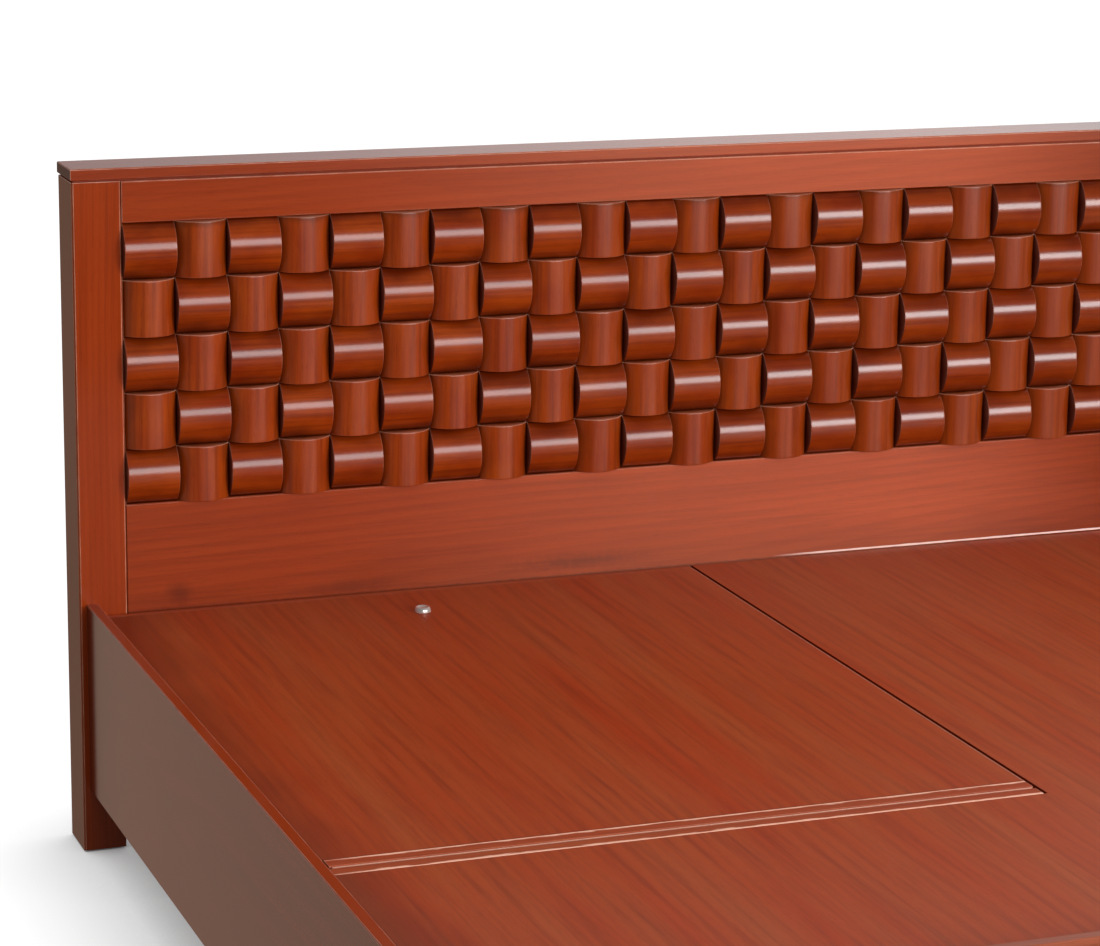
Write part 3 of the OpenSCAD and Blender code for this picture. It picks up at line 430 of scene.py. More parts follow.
def bare_softwood(name, grain, base):
    """Planed pine, left bare. Knots are rare, rings are 4 mm apart and the surface is matt."""
    material, tree = blank_material(name)
    place = add(tree, "ShaderNodeTexCoord")
    along = add(tree, "ShaderNodeMapping", {
        "Vector": place.outputs["Object"], "Rotation": TURN[grain]})
    long_map = add(tree, "ShaderNodeMapping", {"Vector": along, "Scale": (2, 60, 60)})
    drift = add(tree, "ShaderNodeTexNoise", {"Vector": long_map, "Scale": 1.0, "Detail": 3.0})
    ring_map = add(tree, "ShaderNodeMapping", {"Vector": along, "Scale": (0.7, 250, 250)})
    ring = add(tree, "ShaderNodeTexNoise", {"Vector": ring_map, "Scale": 1.0, "Detail": 2.0})
    rings = add(tree, "ShaderNodeMapRange", {"Value": ring.outputs[0], 1: 0.42, 2: 0.66, 4: 0.6})
    colour = add(tree, "ShaderNodeMix", {
        0: drift.outputs[0], 6: (*base, 1), 7: (*(0.72 * c for c in base), 1)}, data_type="RGBA")
    lined = add(tree, "ShaderNodeMix", {
        0: rings, 6: colour.outputs[2], 7: (base[0] * 0.55, base[1] * 0.4, base[2] * 0.3, 1)},
        data_type="RGBA")
    bump = add(tree, "ShaderNodeBump", {"Height": rings, "Distance": 0.00012, "Strength": 0.6})
    skin = add(tree, "ShaderNodeBsdfPrincipled", {
        "Base Color": lined.outputs[2], "Roughness": 0.62, "Normal": bump})
    add(tree, "ShaderNodeOutputMaterial", {"Surface": skin})
    return material


def coated_steel(name, base, rough, metallic=1.0):
    """Plated or painted mild steel. Rolling and tumbling leave a fine, cloudy satin."""
    material, tree = blank_material(name)
    place = add(tree, "ShaderNodeTexCoord")
    cloud = add(tree, "ShaderNodeTexNoise", {
        "Vector": place.outputs["Object"], "Scale": 220.0, "Detail": 3.0})
    tone = add(tree, "ShaderNodeMix", {
        0: cloud.outputs[0], 6: (*base, 1), 7: (*(0.6 * c for c in base), 1)}, data_type="RGBA")
    satin = add(tree, "ShaderNodeMapRange", {
        "Value": cloud.outputs[0], 3: max(rough - 0.08, 0.03), 4: rough + 0.08})
    skin = add(tree, "ShaderNodeBsdfPrincipled", {
        "Base Color": tone.outputs[2], "Roughness": satin, "Metallic": metallic})
    add(tree, "ShaderNodeOutputMaterial", {"Surface": skin})
    return material


def moulded_nylon(name, base):
    """Injection-moulded black nylon. The mould leaves a fine matt grain."""
    material, tree = blank_material(name)
    place = add(tree, "ShaderNodeTexCoord")
    grain = add(tree, "ShaderNodeTexNoise", {
        "Vector": place.outputs["Object"], "Scale": 900.0, "Detail": 2.0})
    tone = add(tree, "ShaderNodeMix", {
        0: grain.outputs[0], 6: (*base, 1), 7: (*(1.5 * c for c in base), 1)}, data_type="RGBA")
    bump = add(tree, "ShaderNodeBump", {
        "Height": grain.outputs[0], "Distance": 0.0001, "Strength": 0.4})
    skin = add(tree, "ShaderNodeBsdfPrincipled", {
        "Base Color": tone.outputs[2], "Roughness": 0.55, "Normal": bump})
    add(tree, "ShaderNodeOutputMaterial", {"Surface": skin})
    return material


def give(material, *names):
    """Gives CAD pieces a finish."""
    for name in names:
        piece = NODES[name]
        piece.data.materials.clear()
        piece.data.materials.append(material)


def mesh_from(build, name, sharp_from):
    """Makes a smooth mesh whose edges are sharp from an angle in degrees."""
    bmesh.ops.recalc_face_normals(build, faces=build.faces)
    for face in build.faces:
        face.smooth = True
    for line in build.edges:
        if line.calc_face_angle() > math.radians(sharp_from):
            line.smooth = False
    mesh = bpy.data.meshes.new(name)
    build.to_mesh(mesh)
    build.free()
    return mesh


def crowned_block(length, width, rise, edge, arris, steps=14):
    """One block: a shallow crown along X, its back on y = 0, its ends sanded round."""
    radius = (width * width / 4 + rise * rise) / (2 * rise)
    half_angle = math.asin(width / 2 / radius)
    build = bmesh.new()
    rings = []
    # From an end inwards: the end face, the middle of the rounded arris, the full section, and
    # the full section again, so that the arris doesn't bend the light on the crown
    half = [(length / 2, arris), (length / 2 - 0.3 * arris, 0.3 * arris), (length / 2 - arris, 0),
            (length / 2 - 1.8 * arris, 0)]
    for x, inset in [(-x, inset) for x, inset in half] + half[::-1]:
        ring = [build.verts.new((x, 0, -width / 2))]
        for k in range(steps + 1):
            angle = -half_angle + 2 * half_angle * k / steps
            y = -(edge + rise - radius) - (radius - inset) * math.cos(angle)
            z = (radius - inset) * math.sin(angle)
            if k in (0, steps):
                z = math.copysign(width / 2, angle)
            ring.append(build.verts.new((x, min(y, -0.001), z)))
        ring.append(build.verts.new((x, 0, width / 2)))
        rings.append(ring)
    count = len(rings[0])
    for a, b in zip(rings, rings[1:]):
        for i in range(count):
            j = (i + 1) % count
            build.faces.new((a[i], a[j], b[j], b[i]))
    build.faces.new(rings[0])
    build.faces.new(rings[-1][::-1])
    return mesh_from(build, "block", 42)


def weave_tree():
    """Sets a block on every second cell of a grid, each seated a little differently."""
    tree = bpy.data.node_groups.new("Woven Blocks", "GeometryNodeTree")
    face = tree.interface
    face.new_socket(name="Block", in_out="INPUT", socket_type="NodeSocketGeometry")
    for name, kind in (("Columns", "Int"), ("Rows", "Int"), ("Cell Width", "Float"),
                       ("Cell Height", "Float"), ("Parity", "Int"), ("Place", "Vector"),
                       ("Tilt", "Vector"), ("Seed", "Int"), ("Finish", "Material")):
        face.new_socket(name=name, in_out="INPUT", socket_type="NodeSocket" + kind)
    face.new_socket(name="Blocks", in_out="OUTPUT", socket_type="NodeSocketGeometry")
    given = add(tree, "NodeGroupInput").outputs
    spare_columns = add(tree, "ShaderNodeMath", {0: given["Columns"], 1: 1.0}, operation="SUBTRACT")
    spare_rows = add(tree, "ShaderNodeMath", {0: given["Rows"], 1: 1.0}, operation="SUBTRACT")
    wide = add(tree, "ShaderNodeMath", {0: spare_columns, 1: given["Cell Width"]},
               operation="MULTIPLY")
    high = add(tree, "ShaderNodeMath", {0: spare_rows, 1: given["Cell Height"]},
               operation="MULTIPLY")
    grid = add(tree, "GeometryNodeMeshGrid", {
        "Size X": wide, "Size Y": high,
        "Vertices X": given["Columns"], "Vertices Y": given["Rows"]})
    upright = add(tree, "GeometryNodeTransform", {
        "Geometry": grid, "Translation": given["Place"], "Rotation": (math.pi / 2, 0, 0)})
    index = add(tree, "GeometryNodeInputIndex")
    share = add(tree, "ShaderNodeMath", {0: index, 1: given["Rows"]}, operation="DIVIDE")
    column = add(tree, "ShaderNodeMath", {0: share}, operation="FLOOR")
    row = add(tree, "ShaderNodeMath", {0: index, 1: given["Rows"]}, operation="MODULO")
    total = add(tree, "ShaderNodeMath", {0: column, 1: row}, operation="ADD")
    odd = add(tree, "ShaderNodeMath", {0: total, 1: 2.0}, operation="MODULO")
    wanted = add(tree, "FunctionNodeCompare", {0: odd, 1: given["Parity"]},
                 data_type="FLOAT", operation="EQUAL")
    less = add(tree, "ShaderNodeVectorMath", {0: given["Tilt"], 1: (-1, -1, -1)},
               operation="MULTIPLY")
    lean = add(tree, "FunctionNodeRandomValue", {0: less, 1: given["Tilt"], "Seed": given["Seed"]},
               data_type="FLOAT_VECTOR")
    turn = add(tree, "FunctionNodeEulerToRotation", {0: lean})
    blocks = add(tree, "GeometryNodeInstanceOnPoints", {
        "Points": upright, "Selection": wanted, "Instance": given["Block"], "Rotation": turn})
    real = add(tree, "GeometryNodeRealizeInstances", {"Geometry": blocks})
    dressed = add(tree, "GeometryNodeSetMaterial", {"Geometry": real, "Material": given["Finish"]})
    add(tree, "NodeGroupOutput", {0: dressed})
    return tree


def settled(piece, tree, values, name):
    """Applies a node tree to a piece and returns the result as a plain mesh object."""
    modifier = piece.modifiers.new("Nodes", "NODES")
    modifier.node_group = tree
    for socket in tree.interface.items_tree:
        if socket.in_out == "INPUT" and socket.name in values:
            modifier[socket.identifier] = values[socket.name]
    bpy.context.scene.collection.objects.link(piece)
    graph = bpy.context.evaluated_depsgraph_get()
    mesh = bpy.data.meshes.new_from_object(piece.evaluated_get(graph))
    piece.modifiers.remove(modifier)
    bpy.data.objects.remove(piece)
    mesh.name = name
    result = bpy.data.objects.new(name, mesh)
    bpy.context.scene.collection.objects.link(result)
    return result


class BED_OT_woven_blocks(bpy.types.Operator):
    """Makes the crowned blocks of the headboard"""
    bl_idname = "bed.woven_blocks"
    bl_label = "Woven Blocks"

    def execute(self, context):
        size = context.scene.bed_weave
        look = context.scene.bed_finish
        tree = weave_tree()
        # Painted shade on the blocks: deeper towards the right, and darkest right under the top
        # rail, where it is a painted shadow
        blocks_painted_shade_right = Band("X", 1.2, -0.9, 0.4)
        under = Band("Z", TOP_RAIL[0][2] + 0.002, TOP_RAIL[0][2] - 0.012, 0.8)
        alike = {
            "ring": 0.009, "rings_show": 0.12, "streaks": 0.5, "fine": 120, "patch": 9,
            "painted_arris_highlight": look.painted_arris_highlight, "ease": 0.0018}
        # Painted shade deepens both kinds of block towards the creases next to the panel. The end
        # faces of the across blocks carry painted shade too, and keep little lacquer so that they
        # show no sheen
        across_wood = stained_wood(
            "Lacquered hardwood, across blocks", "X", look.block, look.block_dark,
            look.block_light, pith=(0.05, 0.03), gloss=0.195, arris=0.5, highlit_along="X",
            bands=(Band("Y", PANEL_Y, PANEL_Y - 0.028, 1.0), blocks_painted_shade_right, under),
            sawn=Sawn("X", 0.6, 0.85, look.shaded_block_ends, 0.2), **alike)
        upright_wood = stained_wood(
            "Lacquered hardwood, upright blocks", "Z", look.block_light, look.block_dark,
            look.front, pith=(0.04, 0.06), gloss=0.25, coat=0.85, arris=1.0, highlit_along="Z",
            bands=(Band("Y", PANEL_Y, PANEL_Y - 0.024, 0.85), blocks_painted_shade_right, under), **alike)
        middle = (0, PANEL_Y, (LOWER_RAIL[1][2] + TOP_RAIL[0][2]) / 2)
        wide = size.cell_width - size.gap
        high = size.cell_height - size.gap
        across = crowned_block(wide, high, size.rise, size.edge, size.arris)
        standing = crowned_block(high, wide, size.rise, size.edge, size.arris)
        standing.transform(Matrix.Rotation(math.pi / 2, 4, "Y"))
        shared = {
            "Columns": size.columns, "Rows": size.rows, "Cell Width": size.cell_width,
            "Cell Height": size.cell_height, "Place": middle}
        # A block tilts mostly about its own length
        small = 0.15 * size.tilt
        for kind, mesh, parity, tilt, wood in (
                ("across", across, 0, (size.tilt, small, small), across_wood),
                ("upright", standing, 1, (small, small, size.tilt), upright_wood)):
            one = bpy.data.objects.new("block", mesh)
            piece = settled(one, tree, {
                **shared, "Parity": parity, "Tilt": tilt, "Seed": size.seed + parity,
                "Finish": wood}, "blocks_" + kind)
            if not piece.data.polygons:
                raise RuntimeError("the woven blocks came out empty")
            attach(piece, "frame")
            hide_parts(*[f"weave_row_{row + 1}_{kind}" for row in range(size.rows)])
        return {"FINISHED"}


def turned_mesh(name, foot, outline, turns=56):
    """Turns an outline of radii and heights about an upright axis."""
    build = bmesh.new()
    rings = []
    for r, z in outline:
        if r == 0.0:
            rings.append([build.verts.new((foot[0], foot[1], foot[2] + z))])
        else:
            rings.append([build.verts.new((
                foot[0] + r * math.cos(2 * math.pi * k / turns),
                foot[1] + r * math.sin(2 * math.pi * k / turns), foot[2] + z))
                for k in range(turns)])
    for a, b in zip(rings, rings[1:]):
        for k in range(turns):
            j = (k + 1) % turns
            if len(a) == 1:
                build.faces.new((a[0], b[j], b[k]))
            elif len(b) == 1:
                build.faces.new((a[k], a[j], b[0]))
            else:
                build.faces.new((a[k], a[j], b[j], b[k]))
    return mesh_from(build, name, 50)


class BED_OT_knob(bpy.types.Operator):
    """Turns the lid's polished knob"""
    bl_idname = "bed.knob"
    bl_label = "Knob"

    def execute(self, context):
        look = context.scene.bed_finish
        radius = (KNOB[1][0] - KNOB[0][0]) / 2
        height = KNOB[1][2] - KNOB[0][2]
        outline = [
            (0.0, 0.0), *((radius - inset, z) for inset, z in KNOB_SIDE),
            *((radius - inset, height - depth) for inset, depth in KNOB_TOP),
            (0.0, height - KNOB_DISH)]
        foot = ((KNOB[0][0] + KNOB[1][0]) / 2, (KNOB[0][1] + KNOB[1][1]) / 2, KNOB[0][2])
        mesh = turned_mesh("knob", foot, outline)
        mesh.materials.append(coated_steel("Polished steel", look.knob, 0.17, 0.62))
        piece = bpy.data.objects.new("turned_knob", mesh)
        context.scene.collection.objects.link(piece)
        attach(piece, "lid")
        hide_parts("lid_knob")
        return {"FINISHED"}


class BED_OT_boards(bpy.types.Operator):
    """Finishes the stained and lacquered boards"""
    bl_idname = "bed.boards"
    bl_label = "Lacquered Boards"

    def execute(self, context):
        look = context.scene.bed_finish
        front = (look.front, look.front_dark, look.front_light)
        # Painted light on the boards of the headboard: their stain is made lighter towards the
        # right, with painted shade at the left and at the far right end
        board = tuple(tuple(1.21 * c for c in colour) for colour in front)
        paler = Band("X", -1.3, 0.4, 0.3)
        dimmer = Band("X", 1.1, 0.35, 0.8)
        # and painted light makes them lighter still where the light falls on them
        light_fall = PaintedLight(-0.75, 0.0, 0.4, 0.9, 0.08)
        side = (look.side, look.side_dark, look.side_light)
        foot = (look.foot, look.foot_dark, look.foot_light)
        deck = (look.deck, look.deck_dark, look.deck_light)
        hidden = (look.side, look.side_dark, look.side)
        rail_front = LOWER_RAIL[0][1]
        # Painted shade on the posts: the sides turned from the light get a darker colour and more
        # lacquer
        give(stained_wood(
            "Lacquered hardwood, posts", "Z", *front, pith=(0.3, 0.8), coat=0.42, painted_arris_highlight=look.painted_arris_highlight,
            arris=1.0, ease=0.0024, sawn=Sawn("X", 0.6, 0.85, look.shaded_post_sides, 1.25)),
            "post_left", "post_right")
        give(stained_wood(
            "Lacquered hardwood, top rail", "X", *board, pith=(-1.2, -0.9), coat=0.6,
            painted_arris_highlight=look.painted_arris_highlight, arris=1.0, ease=0.0024, bands=(paler, dimmer), painted_light=light_fall),
            "top_rail")
        # The cap is a shade darker than the rail below it, and carries the rail's painted light and
        # shade. Its end faces are darker: end grain takes more stain, and their colour also paints
        # shade
        give(stained_wood(
            "Lacquered hardwood, cap", "X", *board, pith=(-1.2, -0.9), coat=0.82, painted_arris_highlight=look.painted_arris_highlight,
            arris=1.0, ease=0.002, bands=(paler, dimmer, Band("Z", 0.0, 5.0, 0.12)),
            painted_light=light_fall, sawn=Sawn("X", 0.6, 0.85, look.cap_end, 0.5)), "head_cap")
        # The lower rail carries painted shade where it meets the deck, a dark joint line right
        # above the deck and, on the right, a painted highlight in a pale line just above the joint.
        # It carries the boards' painted light and shade too
        give(stained_wood(
            "Lacquered hardwood, lower rail", "X", *board, pith=(-1.15, -0.2), ring=0.014,
            rings_show=0.22, streaks=0.42, gloss=0.26, coat=0.5, painted_arris_highlight=look.painted_arris_highlight, arris=1.0,
            ease=0.0007, highlit_along="Z", bands=(
                Band("Z", DECK_Z, DECK_Z + 0.075, 0.35), paler, dimmer,
                Band("Z", DECK_Z + 0.0005, DECK_Z + 0.0035, 0.9)),
            painted_light=light_fall, marks=(
                Mark((-0.926, rail_front, 0.440), (0.035, 0.06, 0.03), 0.5, 42),
                Mark((-0.620, rail_front, 0.424), (0.17, 0.06, 0.022), 0.4, 45),
                Mark((-0.210, rail_front, 0.437), (0.20, 0.06, 0.022), 0.55, 90)),
            chips_and_highlights=ChipsAndHighlights(look.rail_highlight, "Z", DECK_Z + 0.0036, 0.0018, 0.0008, 0.16)),
            "lower_rail")
        # Painted shade darkens the side rails near the headboard. Their tops get a colour and a
        # share of lacquer of their own, apart from the sides, for how light and reflection fall on
        # them: painted light
        give(stained_wood(
            "Lacquered hardwood, side rails", "Y", *side, pith=(0.4, -0.1), painted_arris_highlight=look.painted_arris_highlight,
            arris=1.0, ease=0.0012, bands=(Band("Y", HEAD_Y, HEAD_Y - 0.45, 0.8),),
            sawn=Sawn("Z", 0.6, 0.85, look.rail_top, 0.45)), "side_rail_left", "side_rail_right")
        # The foot rail's stain is lighter and pinker than the side rails': the sheen seen on it is
        # painted into its colour
        give(stained_wood(
            "Lacquered hardwood, foot rail", "X", *foot, pith=(0.4, -0.1), gloss=0.3, coat=0.6,
            ease=0.0006), "foot_rail")
        # The deck carries painted shade along the left rail and a faint painted light. Its cut
        # edges take more stain, and their dark colour also paints the shade inside the seams
        veneer = {
            "pith": (0.9, 0.3), "ring": 0.02, "rings_show": 0.08, "streaks": 0.46, "fine": 85,
            "gloss": 0.38, "coat": 0.5, "painted_arris_highlight": look.painted_arris_highlight, "arris": 0.0, "ease": 0.0004,
            "bands": (Band("X", SIDE_RAIL[1][0], SIDE_RAIL[1][0] + 0.12, 0.62),),
            "painted_light": PaintedLight(-0.3, 0.1, 0.35, 0.6, 0.03),
            "sawn": Sawn("Z", 0.5, 0.3, look.deck_edge, 0.0)}
        give(stained_wood("Lacquered veneer, deck", "Y", *deck, **veneer),
             "deck_right", "deck_front_left")
        # The lid's free edge shows a pale line, a painted highlight on its arris. Distances are
        # taken from a metre further in
        give(stained_wood("Lacquered veneer, lid", "Y", *deck, **veneer, chips_and_highlights=ChipsAndHighlights(
            look.lid_edge_highlight, "X", LID[1][0] - 1.0, 0.9974, 0.9987, SIDE_RAIL[0][0])), "lid_panel")
        edging = {
            "pith": (0.5, -0.3), "gloss": 0.4, "coat": 0.6, "painted_arris_highlight": look.painted_arris_highlight, "arris": 0.6}
        # The edgings on both sides of the hinge are chipped along their outer edges
        hinge_line = (PIN[0][1] + PIN[1][1]) / 2
        outer = hinge_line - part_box("deck_edging")[0][1]
        give(stained_wood("Lacquered hardwood, edgings", "X", *deck, **edging, chips_and_highlights=ChipsAndHighlights(
            look.chipped, "Y", hinge_line, outer - 0.007, outer, SIDE_RAIL[0][0])),
            "deck_edging", "lid_edging_front")
        give(stained_wood("Lacquered hardwood, rear edging", "X", *deck, **edging),
             "lid_edging_rear")
        give(stained_wood("Stained hardwood, legs", "Z", *hidden, gloss=0.35),
             "foot_leg_left", "foot_leg_right", "centre_legs")
        give(stained_wood("Stained hardwood, hidden faces", "X", *hidden, gloss=0.35, coat=0.3),
             "cap_strip", "head_apron", "weave_panel")
        give(stained_wood("Stained plywood, back", "Z", *hidden, gloss=0.4, coat=0.4), "back_skin")
        return {"FINISHED"}


class BED_OT_inner_parts(bpy.types.Operator):
    """Finishes the bare wood inside the box"""
    bl_idname = "bed.inner_parts"
    bl_label = "Inner Parts"

    def execute(self, context):
        look = context.scene.bed_finish
        give(bare_softwood("Planed pine, lengthwise", "Y", look.inner),
             "centre_divider", "side_cleats", "divider_cleats")
        give(bare_softwood("Planed pine, crosswise", "X", look.inner),
             "cross_rail_left", "cross_rail_right", "end_cleats", "cross_cleats", "floor_cleats",
             "back_battens", "lid_battens")
        give(bare_softwood("Plywood, storage floor", "Y", tuple(1.08 * c for c in look.inner)),
             "storage_floor")
        give(bare_softwood("Beech, dowels", "Z", tuple(0.9 * c for c in look.inner)), "dowels")
        return {"FINISHED"}


class BED_OT_metal_parts(bpy.types.Operator):
    """Finishes the hinge, screws, brackets and glides"""
    bl_idname = "bed.metal_parts"
    bl_label = "Metal Parts"

    def execute(self, context):
        look = context.scene.bed_finish
        # The hinge's pale pink colour holds a painted highlight along its knuckle
        give(coated_steel("Nickel-plated steel, hinge", look.hinge, 0.3, 0.3),
             "hinge_leaf_deck", "hinge_leaf_lid", "hinge_pin", "hinge_screws_deck",
             "hinge_screws_lid")
        give(coated_steel("Zinc-plated steel, screws", look.steel, 0.36),
             "leg_screws", "cleat_screws", "floor_screws", "deck_screws", "lid_batten_screws",
             "back_skin_screws", "bracket_screws", "knob_screw")
        give(coated_steel("Black-painted steel, brackets", look.bracket, 0.45, 0.0),
             "bed_bracket_left", "bed_bracket_right")
        give(moulded_nylon("Black nylon, glides", look.glide), "glides")
        give(coated_steel("Polished steel, under the dressed knob", look.knob, 0.17, 0.62),
             "lid_knob")
        return {"FINISHED"}


def studio_floor(size):
    """A matt floor, lifted to white for the camera except in the shade under the bed."""
    half = size / 2
    mesh = bpy.data.meshes.new("floor")
    mesh.from_pydata([(-half, -half, 0), (half, -half, 0), (half, half, 0), (-half, half, 0)],
                     [], [(0, 1, 2, 3)])
    material, tree = blank_material("Matt white studio floor")
    ray = add(tree, "ShaderNodeLightPath")
    shown = add(tree, "ShaderNodeMath", {
        0: ray.outputs["Is Camera Ray"], 1: ray.outputs["Is Transmission Ray"]},
        operation="MAXIMUM")
    # The bed sees a darker floor than the camera, so that little light comes up from it
    matt = add(tree, "ShaderNodeMix", {
        0: shown, 6: (0.22, 0.22, 0.22, 1), 7: (0.4, 0.4, 0.4, 1)}, data_type="RGBA")
    paint = add(tree, "ShaderNodeBsdfDiffuse", {"Color": matt.outputs[2]})
    open_sky = add(tree, "ShaderNodeAmbientOcclusion", {"Distance": 0.26}, samples=12)
    lift = add(tree, "ShaderNodeMath", {0: shown, 1: open_sky.outputs["AO"]}, operation="MULTIPLY")
    strength = add(tree, "ShaderNodeMath", {0: lift, 1: 0.87}, operation="MULTIPLY")
    glow = add(tree, "ShaderNodeEmission", {"Color": (1, 1, 1, 1), "Strength": strength})
    both = add(tree, "ShaderNodeAddShader", {0: paint, 1: glow})
    # Gloss sees a warm grey floor, lighter beside and behind the bed and at the front right
    place = add(tree, "ShaderNodeTexCoord")
    spot = add(tree, "ShaderNodeSeparateXYZ", {0: place.outputs["Object"]})
    beside = add(tree, "ShaderNodeMapRange", {
        "Value": spot.outputs["Y"], 1: -3.0, 2: -0.5, 3: 0.03, 4: 0.42},
        interpolation_type="SMOOTHSTEP")
    right = add(tree, "ShaderNodeMapRange", {"Value": spot.outputs["X"], 1: 0.8, 2: 2.8},
                interpolation_type="SMOOTHSTEP")
    before = add(tree, "ShaderNodeMapRange", {"Value": spot.outputs["Y"], 1: -3.5, 2: -5.0},
                 interpolation_type="SMOOTHSTEP")
    lit = add(tree, "ShaderNodeMath", {0: right, 1: before}, operation="MULTIPLY")
    grey = add(tree, "ShaderNodeMath", {0: beside, 1: lit}, operation="ADD")
    mirrored = add(tree, "ShaderNodeEmission", {"Color": (1, 0.7, 0.54, 1), "Strength": grey})
    surface = add(tree, "ShaderNodeMixShader", {
        0: ray.outputs["Is Glossy Ray"], 1: both, 2: mirrored})
    add(tree, "ShaderNodeOutputMaterial", {"Surface": surface})
    mesh.materials.append(material)
    return bpy.data.objects.new("studio_floor", mesh)


def studio_sky(stage):
    """A sky that is white for the camera and lights matt and glossy surfaces apart."""
    world = bpy.data.worlds.new("Studio sky")
    world.use_nodes = True
    tree = world.node_tree
    tree.nodes.clear()
    ray = add(tree, "ShaderNodeLightPath")
    way = add(tree, "ShaderNodeTexCoord")
    axis = add(tree, "ShaderNodeSeparateXYZ", {0: way.outputs["Generated"]})
    # Matt surfaces see broad lights above and on the left
    light = stage.fill
    for towards, strength in (((0.35, 0.25, 0.9), stage.top), ((-1.0, 0.0, 0.1), stage.left)):
        near = add(tree, "ShaderNodeVectorMath", {
            0: way.outputs["Generated"], 1: Vector(towards).normalized()}, operation="DOT_PRODUCT")
        bright = add(tree, "ShaderNodeMath", {0: near.outputs["Value"], 1: 0.0},
                     operation="MAXIMUM")
        light = add(tree, "ShaderNodeMath", {0: bright, 1: strength, 2: light},
                    operation="MULTIPLY_ADD")
    # Gloss sees it bright behind the headboard, most on the right, and dim in front
    back = add(tree, "ShaderNodeMapRange", {
        "Value": axis.outputs["Y"], 1: -0.1, 2: 0.5, 3: 0.04, 4: 1.0},
        interpolation_type="SMOOTHSTEP")
    right = add(tree, "ShaderNodeMapRange", {
        "Value": axis.outputs["X"], 1: 0.1, 2: 0.55, 3: 0.42, 4: 1.15},
        interpolation_type="SMOOTHSTEP")
    seen = add(tree, "ShaderNodeMath", {0: back, 1: right}, operation="MULTIPLY")
    veil = add(tree, "ShaderNodeMix", {0: ray.outputs["Is Glossy Ray"], 2: light, 3: seen})
    shown = add(tree, "ShaderNodeMath", {
        0: ray.outputs["Is Camera Ray"], 1: ray.outputs["Is Transmission Ray"]},
        operation="MAXIMUM")
    strength = add(tree, "ShaderNodeMix", {0: shown, 2: veil, 3: 1.0})
    sky = add(tree, "ShaderNodeBackground", {"Color": (1, 1, 1, 1), "Strength": strength})
    add(tree, "ShaderNodeOutputWorld", {"Surface": sky})
    return world


def soft_box(name, watts, place, target, width, height):
    """A rectangular soft box that shines on a target and that the camera doesn't see."""
    lamp = bpy.data.lights.new(name, "AREA")
    lamp.shape = "RECTANGLE"
    lamp.size, lamp.size_y = width, height
    lamp.energy = watts
    holder = bpy.data.objects.new(name, lamp)
    holder.location = place
    holder.rotation_mode = "QUATERNION"
    holder.rotation_quaternion = (Vector(target) - Vector(place)).to_track_quat("-Z", "Y")
    holder.visible_camera = False
    return holder


def photo_camera(focal_length):
    """The camera, where the photo was taken from."""
    lens = bpy.data.cameras.new("photo_camera")
    lens.sensor_fit = "HORIZONTAL"
    lens.sensor_width = 36
    lens.lens = focal_length
    lens.clip_end = 200
    camera = bpy.data.objects.new("photo_camera", lens)
    yaw, pitch, roll = (math.radians(angle) for angle in CAMERA_TURN)
    ahead = Vector((
        math.sin(yaw) * math.cos(pitch), math.cos(yaw) * math.cos(pitch), -math.sin(pitch)))
    right = Vector((math.cos(yaw), -math.sin(yaw), 0.0))
    up = right.cross(ahead)
    x_axis = math.cos(roll) * right + math.sin(roll) * up
    y_axis = math.cos(roll) * up - math.sin(roll) * right
    camera.matrix_world = Matrix([
        *([x_axis[i], y_axis[i], -ahead[i], CAMERA_PLACE[i]] for i in range(3)), [0, 0, 0, 1]])
    return camera


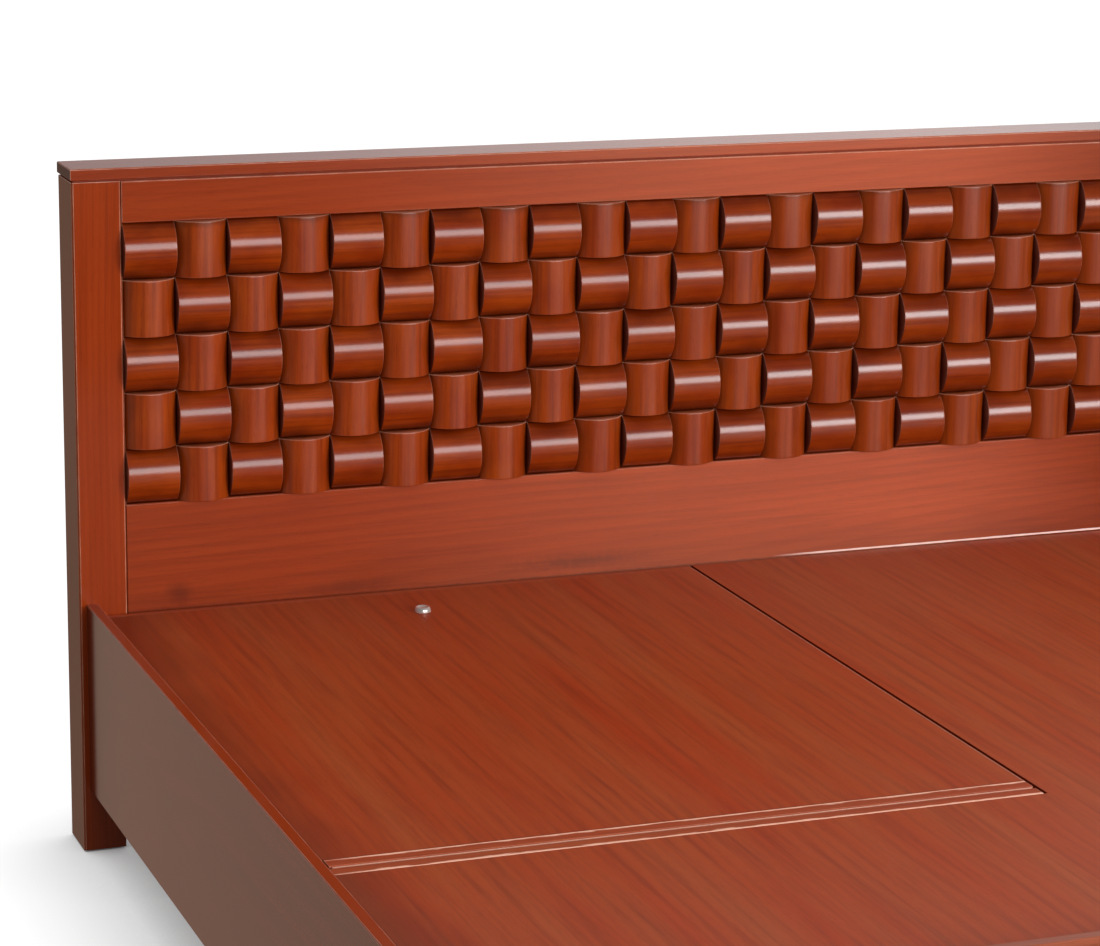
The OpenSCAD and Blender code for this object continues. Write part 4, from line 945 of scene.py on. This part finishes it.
class BED_OT_stage(bpy.types.Operator):
    """Sets the floor, the lamps, the sky and the camera"""
    bl_idname = "bed.stage"
    bl_label = "Stage"

    def execute(self, context):
        scene = context.scene
        stage = scene.bed_stage
        floor = studio_floor(stage.floor_size)
        # Wide soft box before the foot, which lights the headboard and draws the bright bands
        # on the blocks
        wide = soft_box(
            "front_box", stage.front_box, (2.2, -6.0, 2.0), (2.2, HEAD_Y, 2.0), 7.4, 2.3)
        # Second box, which brightens the bands on the right
        far = soft_box("far_box", stage.far_box, (4.3, -5.9, 2.0), (4.3, HEAD_Y, 2.0), 2.8, 2.2)
        # Lamp on the right, which lights the right half of the headboard and isn't mirrored
        near = soft_box(
            "right_box", stage.right_box, (1.5, -2.4, 1.7), (0.45, HEAD_Y, 0.75), 1.2, 1.2)
        near.data.spread = math.radians(70)
        near.visible_glossy = False
        camera = photo_camera(stage.lens)
        for item in (floor, wide, far, near, camera):
            scene.collection.objects.link(item)
        scene.world = studio_sky(stage)
        scene.camera = camera
        scene.view_settings.view_transform = "Standard"
        return {"FINISHED"}


class BED_PT_panel(bpy.types.Panel):
    """Lists the steps and the sizes of the bed"""
    bl_idname = "BED_PT_panel"
    bl_label = "Storage Bed"
    bl_space_type = "VIEW_3D"
    bl_region_type = "UI"
    bl_category = "Storage Bed"

    def draw(self, context):
        column = self.layout.column()
        for step in STEPS:
            column.operator(step.bl_idname)
        for group in (context.scene.bed_weave, context.scene.bed_finish, context.scene.bed_stage):
            for key in group.bl_rna.properties.keys():
                if key not in ("rna_type", "name"):
                    column.prop(group, key)


STEPS = (BED_OT_boards, BED_OT_woven_blocks, BED_OT_knob, BED_OT_inner_parts, BED_OT_metal_parts,
         BED_OT_stage)
CLASSES = (BedWeave, BedFinish, BedStage, *STEPS, BED_PT_panel)


def register():
    for item in CLASSES:
        bpy.utils.register_class(item)
    bpy.types.Scene.bed_weave = PointerProperty(type=BedWeave)
    bpy.types.Scene.bed_finish = PointerProperty(type=BedFinish)
    bpy.types.Scene.bed_stage = PointerProperty(type=BedStage)


def unregister():
    del bpy.types.Scene.bed_stage
    del bpy.types.Scene.bed_finish
    del bpy.types.Scene.bed_weave
    for item in reversed(CLASSES):
        bpy.utils.unregister_class(item)


def main():
    register()
    bpy.ops.bed.boards()
    bpy.ops.bed.woven_blocks()
    bpy.ops.bed.knob()
    bpy.ops.bed.inner_parts()
    bpy.ops.bed.metal_parts()
    bpy.ops.bed.stage()


if __name__ == "__main__":
    main()
